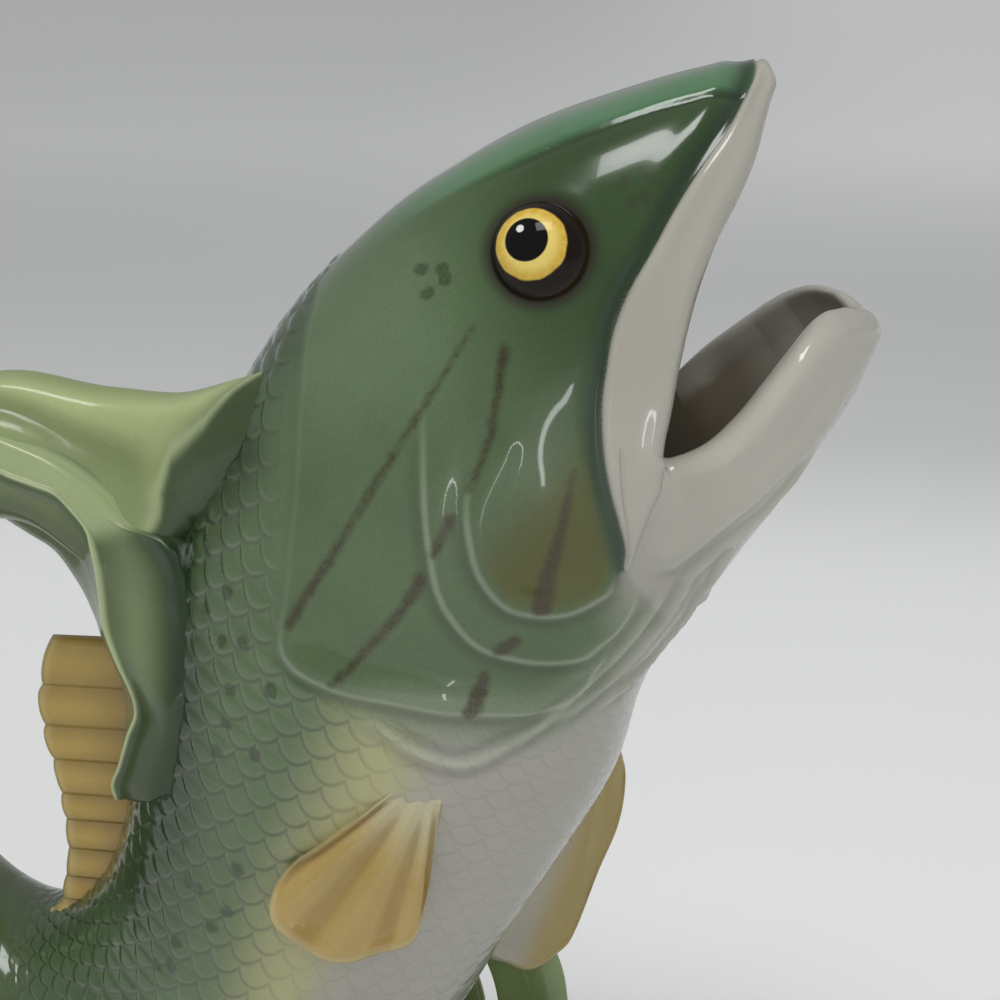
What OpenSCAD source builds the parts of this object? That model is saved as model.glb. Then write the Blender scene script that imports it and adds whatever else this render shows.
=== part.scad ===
// Gurgle jug in the shape of an upright bass: hollow glazed earthenware, luted from cast pieces.
// Rest face at z = 0, mouth towards +X, tail handle towards -X, the fish's right side towards -Y.

/* [Form] */
// reach of the form from the handle to the jaw
form_l = 250; // [150:1:400]
// height of the snout above the rest face
form_h = 278; // [170:1:440]
// width of the trunk at its widest
body_w = 84; // [50:1:130]
// wall of the shells
wall = 5; // [3:0.5:7]
// sideways swing of the tail's end
tail_swing = 6; // [0:0.5:10]

/* [Lips] */
// how far the upper lip stands proud of the head
lip_t = 0.8; // [0.4:0.1:2]

/* [Tail fin] */
// half thickness of the upper lobe at the handle's end
lobe_t = 13; // [8:0.5:20]
// lean of the upper lobe, top edge away from the right side
lobe_lean = 5; // [0:0.5:8]
// half width of the lower lobe
hang_w = 8; // [5:0.5:12]
// half thickness of the lower lobe
hang_t = 7; // [4:0.5:10]
// how far the lower lobe lies to the right of the middle
hang_side = 19; // [17:0.5:24]

/* [Fins] */
// reach of the dorsal fin behind the back
dorsal_h = 26; // [15:0.5:32]
// thickness of the dorsal fin
dorsal_t = 6; // [4:0.5:9]
// length of the right pectoral fin
right_fin_l = 42; // [30:1:55]
// length of the left pectoral fin
left_fin_l = 62; // [45:1:75]
// thickness of the pectoral fins
fin_t = 5; // [3:0.5:7]
// depth that a fin's root reaches into the skin before it is trimmed
fin_root = 3; // [2:0.5:4]

/* [Gill covers] */
// thickness of a gill cover at its rear edge
gill_t = 1.8; // [1.2:0.1:3]
// slip joint under a gill cover
slip_gap = 0.2; // [0.1:0.05:0.5]

/* [Eyes] */
// diameter of an eye
eye_d = 18; // [12:0.5:24]
// height of the dome over the skin
eye_dome = 5.5; // [3:0.5:8]
// depth of the socket
socket_depth = 2.6; // [1.5:0.1:4]
// clearance of the eye in its socket
socket_fit = 0.3; // [0.1:0.05:0.6]

/* [Foot] */
// length of the foot
foot_l = 130; // [90:1:180]
// how far the foot reaches past the trunk's side
foot_out = 1; // [0:0.5:15]
// height of the foot's mound
foot_h = 46; // [30:1:60]
// thickness of a weed leaf
leaf_t = 5; // [3:0.5:8]
// half width of a weed leaf
leaf_w = 9; // [5:0.5:14]

/* [Hidden] */
// stations between two rows of the form
steps = 5;
// columns along one lip, over the top, across one side of the gape and under the jaw
lip_n = 2;
top_n = 16;
gape_n = 2;
low_n = 14;
// columns of the ring round the shells, and round the tail
ring_n = 2 * lip_n + top_n + 2 * gape_n + low_n;
tail_n = 20;
// width of the foot
foot_w = body_w + 2 * foot_out;
// level of the widest point, as a share of a section from back to belly
mid_share = 0.52;
// last row of the head, of the trunk and of the tail
seam_row = 6;
trunk_row = 13;
rows_n = 20;
// station where the corner of the mouth lies, and where the lip ends behind it
corner_n = 16;
lip_end_n = 20;

// back x, back z, belly x, belly z as shares of form_l and form_h; upper and lower half width of body_w / 2
form_shares = [
    [0.384, 1.000, 0.478, 0.827, 0.19, 0.33],
    [0.336, 0.995, 0.470, 0.784, 0.52, 0.60],
    [0.272, 0.978, 0.432, 0.727, 0.71, 0.74],
    [0.208, 0.957, 0.384, 0.662, 0.83, 0.84],
    [0.144, 0.928, 0.348, 0.612, 0.90, 0.90],
    [0.080, 0.888, 0.320, 0.576, 0.95, 0.95],
    [0.000, 0.813, 0.300, 0.536, 0.98, 0.98],
    [-0.072, 0.701, 0.280, 0.468, 1.00, 1.00],
    [-0.120, 0.576, 0.242, 0.403, 1.00, 1.00],
    [-0.144, 0.457, 0.188, 0.320, 0.98, 0.98],
    [-0.172, 0.367, 0.126, 0.223, 0.95, 0.95],
    [-0.212, 0.317, 0.024, 0.115, 0.88, 0.88],
    [-0.252, 0.302, -0.136, 0.058, 0.78, 0.78],
    [-0.284, 0.320, -0.296, 0.065, 0.66, 0.66],
    [-0.312, 0.356, -0.416, 0.130, 0.56, 0.56],
    [-0.340, 0.414, -0.484, 0.237, 0.46, 0.46],
    [-0.356, 0.486, -0.508, 0.381, 0.40, 0.40],
    [-0.356, 0.554, -0.500, 0.511, 0.37, 0.37],
    [-0.336, 0.604, -0.456, 0.619, 0.35, 0.35],
    [-0.300, 0.633, -0.384, 0.705, 0.33, 0.33],
    [-0.256, 0.658, -0.292, 0.763, 0.32, 0.32]
];

// squareness of the section; upper edge of the lip, lip and rim as shares of a section; share of the wall
mouth_shares = [
    [2.4, 0.025, 0.060, 0.95, 0.3],
    [2.7, 0.140, 0.260, 0.76, 0.8],
    [2.8, 0.280, 0.420, 0.72, 1.0],
    [2.8, 0.395, 0.615, 0.695, 1.0],
    [2.7, 0.620, 0.700, 0.73, 1.0],
    [2.5, 0.550, 0.640, 0.70, 1.0],
    [2.3, 0.470, 0.560, 0.63, 1.0],
    [2.1, 0.420, 0.500, 0.58, 1.0]
];

// reach of the dorsal fin at rows of the form, as shares of dorsal_h
dorsal_row_shares = [8.2, 8.6, 8.9, 9.3, 9.7, 10.2, 10.6, 11.2, 11.8];
dorsal_shares = [0.94, 1.00, 0.92, 0.73, 0.58, 0.42, 0.31, 0.12, 0.02];

// outline of a pectoral fin, along and across, as shares of its length
pectoral_shares = [
    [-0.04, 0.12], [0.18, 0.18], [0.40, 0.27], [0.66, 0.34], [0.80, 0.31], [0.94, 0.19],
    [1.00, 0.04], [0.99, -0.12], [0.90, -0.27], [0.72, -0.35], [0.36, -0.24], [-0.04, -0.12]
];

// upper lobe: lower x, lower z, upper x, upper z of form_l and form_h, half thickness of lobe_t
lobe_shares = [
    [-0.256, 0.658, -0.292, 0.763, 1.00],
    [-0.205, 0.668, -0.228, 0.770, 0.80],
    [-0.155, 0.668, -0.156, 0.758, 0.62],
    [-0.108, 0.694, -0.088, 0.756, 0.50],
    [-0.056, 0.737, -0.040, 0.763, 0.40],
    [-0.020, 0.758, -0.008, 0.773, 0.28]
];

// lower lobe: x and z of form_l and form_h, half width of hang_w, half thickness of hang_t, side of hang_side
hang_shares = [
    [-0.216, 0.692, 0.95, 1.00, 0.45],
    [-0.172, 0.655, 1.05, 1.00, 0.65],
    [-0.128, 0.590, 0.95, 0.95, 0.90],
    [-0.114, 0.540, 0.85, 0.85, 1.00],
    [-0.118, 0.490, 0.75, 0.75, 1.02],
    [-0.128, 0.446, 0.60, 0.60, 1.02]
];

// front and rear edge of a gill cover, as row of the form and share of its section
gill_front_shares = [[5.30, 0.30], [5.85, 0.42], [6.30, 0.55], [6.30, 0.68], [5.80, 0.80], [5.10, 0.84]];
gill_rear_shares = [[5.50, 0.06], [6.20, 0.17], [7.00, 0.27], [7.33, 0.42], [6.95, 0.62], [6.20, 0.82]];

// rings of the foot from the rest face up: middle, length and width shares, height share
foot_shares = [
    [0.040, 1.00, 1.00, 0.00],
    [0.040, 1.00, 1.00, 0.10],
    [0.040, 0.93, 0.93, 0.22],
    [0.070, 0.70, 0.76, 0.55],
    [0.110, 0.40, 0.54, 1.00]
];

// rings of the hollow under the foot, as foot_shares but with the height as a share of form_h
hollow_shares = [
    [0.040, 0.86, 0.80, -0.004],
    [0.040, 0.85, 0.79, 0.026],
    [0.115, 0.48, 0.52, 0.030],
    [0.135, 0.28, 0.42, 0.080]
];

// weed leaves: root as x of foot_l, y of foot_w and z of form_h;
// knee and tip as x of form_l, y of body_w and z of form_h
front_leaf_shares = [[0.430, 0.23, 0.02], [0.215, 0.40, 0.17], [0.145, 0.34, 0.31]];
near_leaf_shares = [[0.420, -0.21, 0.02], [0.215, -0.30, 0.12], [0.115, -0.30, 0.24]];
mid_leaf_shares = [[0.230, -0.44, 0.02], [0.120, -0.56, 0.14], [0.060, -0.52, 0.29]];
rear_leaf_shares = [[-0.173, -0.39, 0.02], [-0.110, -0.52, 0.10], [-0.150, -0.47, 0.23]];
// way that each leaf faces
front_leaf_angle = 90;
near_leaf_angle = -50;
mid_leaf_angle = -90;
rear_leaf_angle = -100;

// place of an eye and of the pectoral roots, as row of the form and share of its section
eye_place_shares = [3.38, 0.193];
right_root_shares = [7.60, 0.630];
left_root_shares = [7.60, 0.975];
// turn of the right fin about the side, and how far it stands off
right_turn_angle = 241;
right_splay_angle = 12;
// direction of the left fin's length and of its breadth
left_way_shares = [-0.29, 0.10, -0.95];
left_breadth_shares = [0.80, 0.60, 0];

function clamp(i, n) = min(max(i, 0), n);
function cubic(a, b, c, d, t) =
    0.5 * (2 * b + (c - a) * t + (2 * a - 5 * b + 4 * c - d) * t * t + (3 * b - a - 3 * c + d) * t * t * t);
function along(list, u) =
    let (n = len(list) - 1, i = clamp(floor(u), n - 1), t = u - i,
        a = i > 0 ? list[i - 1] : 2 * list[0] - list[1],
        d = i + 2 <= n ? list[i + 2] : 2 * list[n] - list[n - 1])
    cubic(a, list[i], list[i + 1], d, t);
function mix(a, b, t) = a + (b - a) * t;
function ease(t) = let (k = min(max(t, 0), 1)) k * k * (3 - 2 * k);
function unit(v) = v / norm(v);

// one row of the form in full: back, belly, half widths, squareness, lip edges, wall share and swing
function full_row(i) =
    let (f = form_shares[clamp(i, rows_n)], m = mouth_shares[clamp(i, len(mouth_shares) - 1)])
    [f[0] * form_l, f[1] * form_h, f[2] * form_l, f[3] * form_h, f[4] * body_w / 2, f[5] * body_w / 2,
        m[0], m[1], m[2], m[3], m[4], -tail_swing * ease((i - trunk_row) / (rows_n - trunk_row))];
full_rows = [for (i = [0 : rows_n]) full_row(i)];
function row_at(u) = along(full_rows, u);

// point of a row's section at an angle: 0 right side, 90 back, 180 left side, 270 belly
function skin(r, angle, inset) =
    let (t = [r[0], r[1]], b = [r[2], r[3]], l = norm(b - t), v = (b - t) / l, level = mid_share * l,
        c = cos(angle), s = sin(angle), p = 2 / r[6],
        w = s >= 0 ? r[4] - inset * r[10] : r[5] - inset,
        h = s >= 0 ? inset * r[10] - level : l - level - inset,
        k = level + h * pow(abs(s), p))
    [t[0] + v[0] * k, r[11] - sign(c) * w * pow(abs(c), p), t[1] + v[1] * k];

// angle on the right side where a share of the section is reached
function turn_at(r, share, inset) =
    let (l = norm([r[2] - r[0], r[3] - r[1]]), level = mid_share * l, k = share * l,
        up = level - inset * r[10], low = l - level - inset)
    k <= level ? asin(pow(min((level - k) / up, 1), r[6] / 2))
        : -asin(pow(min((k - level) / low, 1), r[6] / 2));

function spread(a, b, n) = [for (k = [0 : n - 1]) mix(a, b, k / n)];
function columns(r, inset) =
    let (edge = turn_at(r, r[7], inset), lip = turn_at(r, r[8], inset), rim = turn_at(r, r[9], inset))
    concat(spread(lip, edge, lip_n), spread(edge, 180 - edge, top_n), spread(180 - edge, 180 - lip, lip_n),
        spread(180 - lip, 180 - rim, gape_n), spread(180 - rim, 360 + rim, low_n),
        spread(360 + rim, 360 + lip, gape_n));
function ring(u, inset) = let (r = row_at(u)) [for (a = columns(r, inset)) skin(r, a, inset)];

// outward normal at a row and share of the right side
function side_point(u, share) = let (r = row_at(u)) skin(r, turn_at(r, share, 0), 0);
function side_normal(u, share) =
    let (d = 0.02) unit(cross(side_point(u + d, share) - side_point(u - d, share),
        side_point(u, share + d) - side_point(u, share - d)));

// a closed surface, with its triangles turned so that they face outwards
module closed(points, faces) {
    parts = [for (f = faces) points[f[0]] * cross(points[f[1]], points[f[2]])];
    inside_out = parts * [for (f = faces) 1] > 0;
    polyhedron(points, inside_out ? [for (f = faces) [f[2], f[1], f[0]]] : faces, convexity = 6);
}

// shell of the cells that are kept, between an outer and an inner grid of rings
module cells(outer, inner, keep) {
    n = len(outer);
    c = len(outer[0]);
    m = n * c;
    function o(i, j) = i * c + (j + c) % c;
    function q(a, b, d, e) = [[a, b, d], [a, d, e]];
    function has(i, j) = i >= 0 && i < n - 1 && keep(i, (j + c) % c);
    quads = [for (i = [0 : n - 2], j = [0 : c - 1]) if (keep(i, j)) each concat(
        q(o(i, j), o(i, j + 1), o(i + 1, j + 1), o(i + 1, j)),
        q(m + o(i, j), m + o(i + 1, j), m + o(i + 1, j + 1), m + o(i, j + 1)),
        has(i, j - 1) ? [] : q(o(i, j), o(i + 1, j), m + o(i + 1, j), m + o(i, j)),
        has(i, j + 1) ? [] : q(o(i + 1, j + 1), o(i, j + 1), m + o(i, j + 1), m + o(i + 1, j + 1)),
        has(i - 1, j) ? [] : q(o(i, j + 1), o(i, j), m + o(i, j), m + o(i, j + 1)),
        has(i + 1, j) ? [] : q(o(i + 1, j), o(i + 1, j + 1), m + o(i + 1, j + 1), m + o(i + 1, j)))];
    closed(concat([for (r = outer) each r], [for (r = inner) each r]), quads);
}

// solid through a list of rings, closed at both ends
module solid(rings) {
    n = len(rings);
    c = len(rings[0]);
    side = [for (i = [0 : n - 2], j = [0 : c - 1]) each [
        [i * c + j, i * c + (j + 1) % c, (i + 1) * c + (j + 1) % c],
        [i * c + j, (i + 1) * c + (j + 1) % c, (i + 1) * c + j]]];
    caps = [for (j = [1 : c - 2]) each [
        [0, j + 1, j], [(n - 1) * c, (n - 1) * c + j, (n - 1) * c + j + 1]]];
    closed([for (r = rings) each r], concat(side, caps));
}

// the closed skin between two rows, for trimming what is luted to it
module trim(from, to) {
    solid([for (i = [from * steps : to * steps]) ring(i / steps, 0)]);
}

function tail_ring(u, inset) = let (r = row_at(u)) [for (a = spread(0, 360, tail_n)) skin(r, a, inset)];
function tail_grid(inset) = [for (i = [trunk_row * steps : rows_n * steps]) tail_ring(i / steps, inset)];
function grid(from, to, inset) = [for (i = [from * steps : to * steps]) ring(i / steps, inset)];
function in_lip(j) = j < lip_n || (j >= lip_n + top_n && j < 2 * lip_n + top_n);
function in_top(j) = j < 2 * lip_n + top_n;
function in_low(j) = j >= 2 * lip_n + top_n + gape_n && j < ring_n - gape_n;

module body_shell() {
    color([0.33, 0.44, 0.34])
        cells(grid(seam_row, trunk_row, 0), grid(seam_row, trunk_row, wall), function (i, j) true);
}

module eye_seat(side) {
    p = side_point(eye_place_shares[0], eye_place_shares[1]);
    z = side_normal(eye_place_shares[0], eye_place_shares[1]);
    x = unit(cross([0, 0, 1], z));
    y = cross(z, x);
    mirror([0, side, 0])
        multmatrix([[x[0], y[0], z[0], p[0]], [x[1], y[1], z[1], p[1]], [x[2], y[2], z[2], p[2]]])
            children();
}

module head_shell() {
    color([0.30, 0.42, 0.32])
        difference() {
            cells(grid(0, seam_row, 0), grid(0, seam_row, wall),
                function (i, j) i >= lip_end_n || (i >= corner_n && !in_lip(j))
                    || (i > 0 && in_top(j) && !in_lip(j)));
            for (side = [0, 1])
                eye_seat(side)
                    translate([0, 0, -socket_depth])
                        cylinder(d = eye_d + 2 * socket_fit, h = 2 * socket_depth, $fn = 48);
        }
}

module upper_lip() {
    color([0.86, 0.84, 0.81])
        cells(grid(0, seam_row, -lip_t), grid(0, seam_row, wall),
            function (i, j) (i < lip_end_n && in_lip(j)) || (i == 0 && in_top(j)));
}

module lower_jaw() {
    color([0.86, 0.84, 0.81])
        cells(grid(0, seam_row, 0), grid(0, seam_row, wall), function (i, j) i < corner_n && in_low(j));
}

module eye(side) {
    r = (eye_d * eye_d / 4 + eye_dome * eye_dome) / (2 * eye_dome);
    color([0.80, 0.66, 0.25])
        eye_seat(side)
            union() {
                translate([0, 0, -socket_depth])
                    cylinder(d = eye_d, h = socket_depth, $fn = 48);
                intersection() {
                    translate([0, 0, eye_dome - r])
                        sphere(r = r, $fn = 48);
                    cylinder(d = eye_d, h = 2 * eye_dome, $fn = 48);
                }
            }
}

module tail_handle() {
    color([0.58, 0.64, 0.45])
        cells(tail_grid(0), tail_grid(wall), function (i, j) true);
}

function lens(mid, up, side, n) =
    [for (k = [0 : n - 1]) mid + up * sin(360 * k / n) + side * cos(360 * k / n)];
function lobe_ring(u) =
    let (r = along(lobe_shares, u), low = [r[0] * form_l, 0, r[1] * form_h],
        top = [r[2] * form_l, 0, r[3] * form_h],
        lean = lobe_lean * ease(u / 2), y = -tail_swing - u * lobe_lean / 10)
    lens((low + top) / 2 + [0, y, 0], (top - low) / 2 + [0, lean, 0], [0, -r[4] * lobe_t, 0], 16);
module upper_lobe_form() {
    solid([for (k = [0 : 3 * (len(lobe_shares) - 1)]) lobe_ring(k / 3)]);
}

module tail_upper_lobe() {
    color([0.58, 0.64, 0.45])
        difference() {
            upper_lobe_form();
            trim(seam_row - 1, trunk_row - 4);
        }
}

function hang_mid(u) = let (r = along(hang_shares, u)) [r[0] * form_l, -r[4] * hang_side, r[1] * form_h];
function hang_ring(u) =
    let (r = along(hang_shares, u), d = 0.1, way = unit(hang_mid(u + d) - hang_mid(u - d)),
        side = unit(cross(way, [0, 1, 0])), thick = cross(side, way))
    lens(hang_mid(u), side * r[2] * hang_w, thick * r[3] * hang_t, 12);
module tail_lower_lobe() {
    color([0.50, 0.58, 0.40])
        difference() {
            solid([for (k = [0 : 3 * (len(hang_shares) - 1)]) hang_ring(k / 3)]);
            trim(seam_row, trunk_row - 2);
            upper_lobe_form();
        }
}

module dorsal_fin() {
    backs = [for (u = dorsal_row_shares) let (r = row_at(u)) [r[0], r[1]]];
    n = len(backs);
    outer = [for (k = [0 : n - 1]) backs[k] - [dorsal_shares[k] * dorsal_h, 0]];
    inner = [for (k = [n - 1 : -1 : 0]) backs[k] + [fin_root, 0]];
    color([0.66, 0.53, 0.29])
        difference() {
            rotate([90, 0, 0])
                linear_extrude(dorsal_t, center = true)
                    polygon(concat(outer, inner));
            trim(seam_row + 1, trunk_row);
        }
}

module fin_plate(length) {
    linear_extrude(fin_t, center = true)
        polygon([for (k = pectoral_shares) k * length]);
}

module fin_at(place, length_way, across) {
    a = unit(length_way);
    n = unit(cross(a, across));
    b = cross(n, a);
    multmatrix([[a[0], b[0], n[0], place[0]], [a[1], b[1], n[1], place[1]], [a[2], b[2], n[2], place[2]]])
        children();
}

module right_pectoral_fin() {
    p = side_point(right_root_shares[0], right_root_shares[1]);
    out = cos(right_splay_angle);
    a = [cos(right_turn_angle) * out, -sin(right_splay_angle), sin(right_turn_angle) * out];
    color([0.66, 0.54, 0.30])
        difference() {
            fin_at(p, a, cross(a, [0, -1, 0])) fin_plate(right_fin_l);
            trim(seam_row, trunk_row - 2);
        }
}

module left_pectoral_fin() {
    p = side_point(left_root_shares[0], left_root_shares[1]);
    color([0.66, 0.54, 0.30])
        difference() {
            fin_at([p[0], -p[1], p[2]], left_way_shares, left_breadth_shares) fin_plate(left_fin_l);
            trim(seam_row, trunk_row - 2);
        }
}

function gill_point(a, b, lift) =
    let (f = along(gill_front_shares, b), r = along(gill_rear_shares, b), k = mix(f, r, a))
    side_point(k[0], k[1]) + side_normal(k[0], k[1]) * lift;
function gill_rings(lift) = [for (b = [0 : 15]) [for (a = [0 : 6]) gill_point(a / 6, b / 3, lift(a / 6))]];
module gill_cover(side) {
    color([0.33, 0.45, 0.35])
        mirror([0, side, 0])
            cells(gill_rings(function (a) mix(0.5, 1, a) * gill_t), gill_rings(function (a) slip_gap),
                function (i, j) j < 6);
}

function oval(k, h) = [for (t = [0 : 47]) [k[0] * foot_l + k[1] * foot_l / 2 * cos(7.5 * t),
    k[2] * foot_w / 2 * sin(7.5 * t), k[3] * h]];
module foot_form() {
    solid([for (k = foot_shares) oval(k, foot_h)]);
}
module foot() {
    color([0.42, 0.50, 0.36])
        difference() {
            foot_form();
            trim(trunk_row - 4, trunk_row + 1);
            solid([for (k = hollow_shares) oval(k, form_h)]);
        }
}

function leaf_mid(p, t) =
    let (k = [for (i = [0 : 2]) [p[i][0] * (i == 0 ? foot_l : form_l), p[i][1] * (i == 0 ? foot_w : body_w),
        p[i][2] * form_h]])
    k[0] * (1 - t) * (1 - t) + 2 * k[1] * t * (1 - t) + k[2] * t * t;
function leaf_ring(p, facing, t) =
    let (d = 0.02, way = unit(leaf_mid(p, t + d) - leaf_mid(p, t - d)), flat = [cos(facing), sin(facing), 0],
        thick = unit(flat - way * (flat * way)), breadth = cross(way, thick),
        k = sqrt(max(1 - t * t * t * t, 0.01)) * (0.75 + 0.5 * t))
    lens(leaf_mid(p, t), breadth * leaf_w * k, thick * leaf_t / 2 * (1 - 0.5 * t), 8);
module leaf(p, facing, side) {
    color([0.46, 0.56, 0.38])
        difference() {
            mirror([0, side, 0])
                solid([for (k = [0 : 10]) leaf_ring(p, facing, k / 10)]);
            trim(trunk_row - 6, trunk_row + 1);
            foot_form();
        }
}

module front_leaf() {
    leaf(front_leaf_shares, front_leaf_angle, 0);
}
module right_front_leaf() {
    leaf(near_leaf_shares, near_leaf_angle, 0);
}
module right_side_leaf() {
    leaf(mid_leaf_shares, mid_leaf_angle, 0);
}
module right_rear_leaf() {
    leaf(rear_leaf_shares, rear_leaf_angle, 0);
}
module left_side_leaf() {
    leaf(mid_leaf_shares, mid_leaf_angle, 1);
}
module left_rear_leaf() {
    leaf(rear_leaf_shares, rear_leaf_angle, 1);
}

module right_gill_cover() {
    gill_cover(0);
}
module left_gill_cover() {
    gill_cover(1);
}
module right_eye() {
    eye(0);
}
module left_eye() {
    eye(1);
}

foot();
front_leaf();
right_front_leaf();
right_side_leaf();
right_rear_leaf();
left_side_leaf();
left_rear_leaf();
body_shell();
head_shell();
upper_lip();
lower_jaw();
tail_handle();
tail_upper_lobe();
tail_lower_lobe();
dorsal_fin();
right_pectoral_fin();
left_pectoral_fin();
right_gill_cover();
left_gill_cover();
right_eye();
left_eye();
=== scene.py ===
import math

import bpy
import mathutils.kdtree
import numpy as np
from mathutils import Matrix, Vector


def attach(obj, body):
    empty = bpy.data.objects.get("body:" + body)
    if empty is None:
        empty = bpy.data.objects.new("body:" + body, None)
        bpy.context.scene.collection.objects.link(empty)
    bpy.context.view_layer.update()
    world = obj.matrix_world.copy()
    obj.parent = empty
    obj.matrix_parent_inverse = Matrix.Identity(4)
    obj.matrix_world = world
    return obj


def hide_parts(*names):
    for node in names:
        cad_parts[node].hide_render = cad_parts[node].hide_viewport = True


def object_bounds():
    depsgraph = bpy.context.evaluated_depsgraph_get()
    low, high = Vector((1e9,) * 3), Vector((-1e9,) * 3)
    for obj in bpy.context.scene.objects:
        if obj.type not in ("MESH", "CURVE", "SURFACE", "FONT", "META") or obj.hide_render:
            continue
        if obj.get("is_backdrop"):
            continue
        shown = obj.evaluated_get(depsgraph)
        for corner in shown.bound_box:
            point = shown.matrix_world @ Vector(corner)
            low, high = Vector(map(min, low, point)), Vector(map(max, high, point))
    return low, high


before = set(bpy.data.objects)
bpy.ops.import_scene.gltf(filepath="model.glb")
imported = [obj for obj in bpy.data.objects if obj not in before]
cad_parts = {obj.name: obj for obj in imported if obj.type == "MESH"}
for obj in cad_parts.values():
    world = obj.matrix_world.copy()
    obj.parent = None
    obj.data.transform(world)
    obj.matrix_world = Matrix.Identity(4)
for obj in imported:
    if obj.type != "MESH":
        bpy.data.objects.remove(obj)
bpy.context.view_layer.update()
scene = bpy.context.scene

# Sizes in millimetres, and tables of their shares, as in the part's own source.
FORM_L, FORM_H, BODY_W, WALL, SWING, MID = 250.0, 278.0, 84.0, 5.0, 6.0, 0.52

# Back x, z, belly x, z, upper and lower half width at each row from the snout to the end of the tail.
FORM = np.array([
    [.384, 1.000, .478, .827, .19, .33], [.336, .995, .470, .784, .52, .60],
    [.272, .978, .432, .727, .71, .74], [.208, .957, .384, .662, .83, .84], [.144, .928, .348, .612, .90, .90],
    [.080, .888, .320, .576, .95, .95], [.000, .813, .300, .536, .98, .98],
    [-.072, .701, .280, .468, 1.00, 1.00], [-.120, .576, .242, .403, 1.00, 1.00],
    [-.144, .457, .188, .320, .98, .98], [-.172, .367, .126, .223, .95, .95],
    [-.212, .317, .024, .115, .88, .88], [-.252, .302, -.136, .058, .78, .78],
    [-.284, .320, -.296, .065, .66, .66], [-.312, .356, -.416, .130, .56, .56],
    [-.340, .414, -.484, .237, .46, .46], [-.356, .486, -.508, .381, .40, .40],
    [-.356, .554, -.500, .511, .37, .37], [-.336, .604, -.456, .619, .35, .35],
    [-.300, .633, -.384, .705, .33, .33], [-.256, .658, -.292, .763, .32, .32]])

# Squareness of the section, shares of it where the upper lip and the jaw's rim lie, share of the wall.
MOUTH = np.array([
    [2.4, .060, .95, .3], [2.7, .260, .76, .8], [2.8, .420, .72, 1], [2.8, .615, .695, 1], [2.7, .700, .73, 1],
    [2.5, .640, .70, 1], [2.3, .560, .63, 1], [2.1, .500, .58, 1]])

# Upper lobe of the tail: lower x, z, upper x, z, half thickness.
LOBE = np.array([
    [-.256, .658, -.292, .763, 1.00], [-.205, .655, -.228, .770, .80], [-.140, .622, -.156, .758, .62],
    [-.070, .632, -.0895, .759, .52], [-.018, .690, -.026, .779, .44], [.012, .745, .002, .786, .34]])
LOBE_T, LEAN = 13.0, 5.0

# Reach of the dorsal fin at rows of the form.
DORSAL = np.array([
    [8.2, .94], [8.6, 1.00], [8.9, .92], [9.3, .73], [9.7, .58], [10.2, .42], [10.6, .31], [11.2, .12],
    [11.8, .02]])
DORSAL_H, DORSAL_T = 26.0, 6.0
FIN_T, EYE_D, EYE_DOME, SOCKET = 5.0, 18.0, 5.5, 2.6
FOOT_L, FOOT_W, FOOT_H, LEAF_T, LEAF_W = 130.0, 86.0, 46.0, 5.0, 9.0

# Rows of the form where the trunk follows the head and the handle the trunk, and the last row.
NECK, BEND, LAST = 6, 13, len(FORM) - 1


def ease(t):
    k = np.clip(t, 0, 1)
    return k * k * (3 - 2 * k)


def ramp(x, start, width):
    """0 up to a start, 1 from a width beyond it, smooth between."""
    return ease((x - start) / width)


def drop(x, start, width):
    """1 up to a start, 0 from a width beyond it, smooth between."""
    return 1 - ramp(x, start, width)


def norm(v):
    return np.linalg.norm(v, axis=-1)


def lattice(rows, columns):
    return np.meshgrid(rows, columns, indexing="ij")


def curve(table, u):
    """Smooth curve through the rows of a table, at places counted in rows."""
    table = np.asarray(table, float)
    n = len(table) - 1
    u = np.asarray(u, float)
    i = np.clip(np.floor(u).astype(int), 0, n - 1)
    t = (u - i)[..., None]
    full = np.concatenate([[2 * table[0] - table[1]], table, [2 * table[n] - table[n - 1]]])
    a, b, c, d = full[i], full[i + 1], full[i + 2], full[i + 3]
    return .5 * (2 * b + (c - a) * t + (2 * a - 5 * b + 4 * c - d) * t * t + (3 * b - a - 3 * c + d) * t ** 3)


def unit(v):
    return v / (np.linalg.norm(v, axis=-1, keepdims=True) + 1e-12)


row_numbers = np.arange(LAST + 1)
ROWS = np.concatenate([
    FORM * [FORM_L, FORM_H, FORM_L, FORM_H, BODY_W / 2, BODY_W / 2],
    MOUTH[np.minimum(row_numbers, len(MOUTH) - 1)],
    -SWING * ease((row_numbers - BEND) / (LAST - BEND))[:, None]], 1)


def section(u, angle, inset=0.0):
    """x, half width, z, share from back to belly and sideways swing at an angle of a row's section."""
    r = curve(ROWS, u)
    c, s = np.cos(np.radians(angle)), np.sin(np.radians(angle))
    p = 2 / r[..., 6]
    l = np.hypot(r[..., 2] - r[..., 0], r[..., 3] - r[..., 1])
    level = MID * l
    w = r[..., 4] - inset * r[..., 9] + (r[..., 5] - r[..., 4] - inset * (1 - r[..., 9])) * ease(.5 - s / .5)
    h = np.where(s >= 0, inset * r[..., 9] - level, l - level - inset)
    k = level + h * np.abs(s) ** p
    x, z = r[..., 0] + (r[..., 2] - r[..., 0]) * k / l, r[..., 1] + (r[..., 3] - r[..., 1]) * k / l
    return x, np.maximum(w, .3) * np.abs(c) ** p, z, k / l, r[..., 10]


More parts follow.
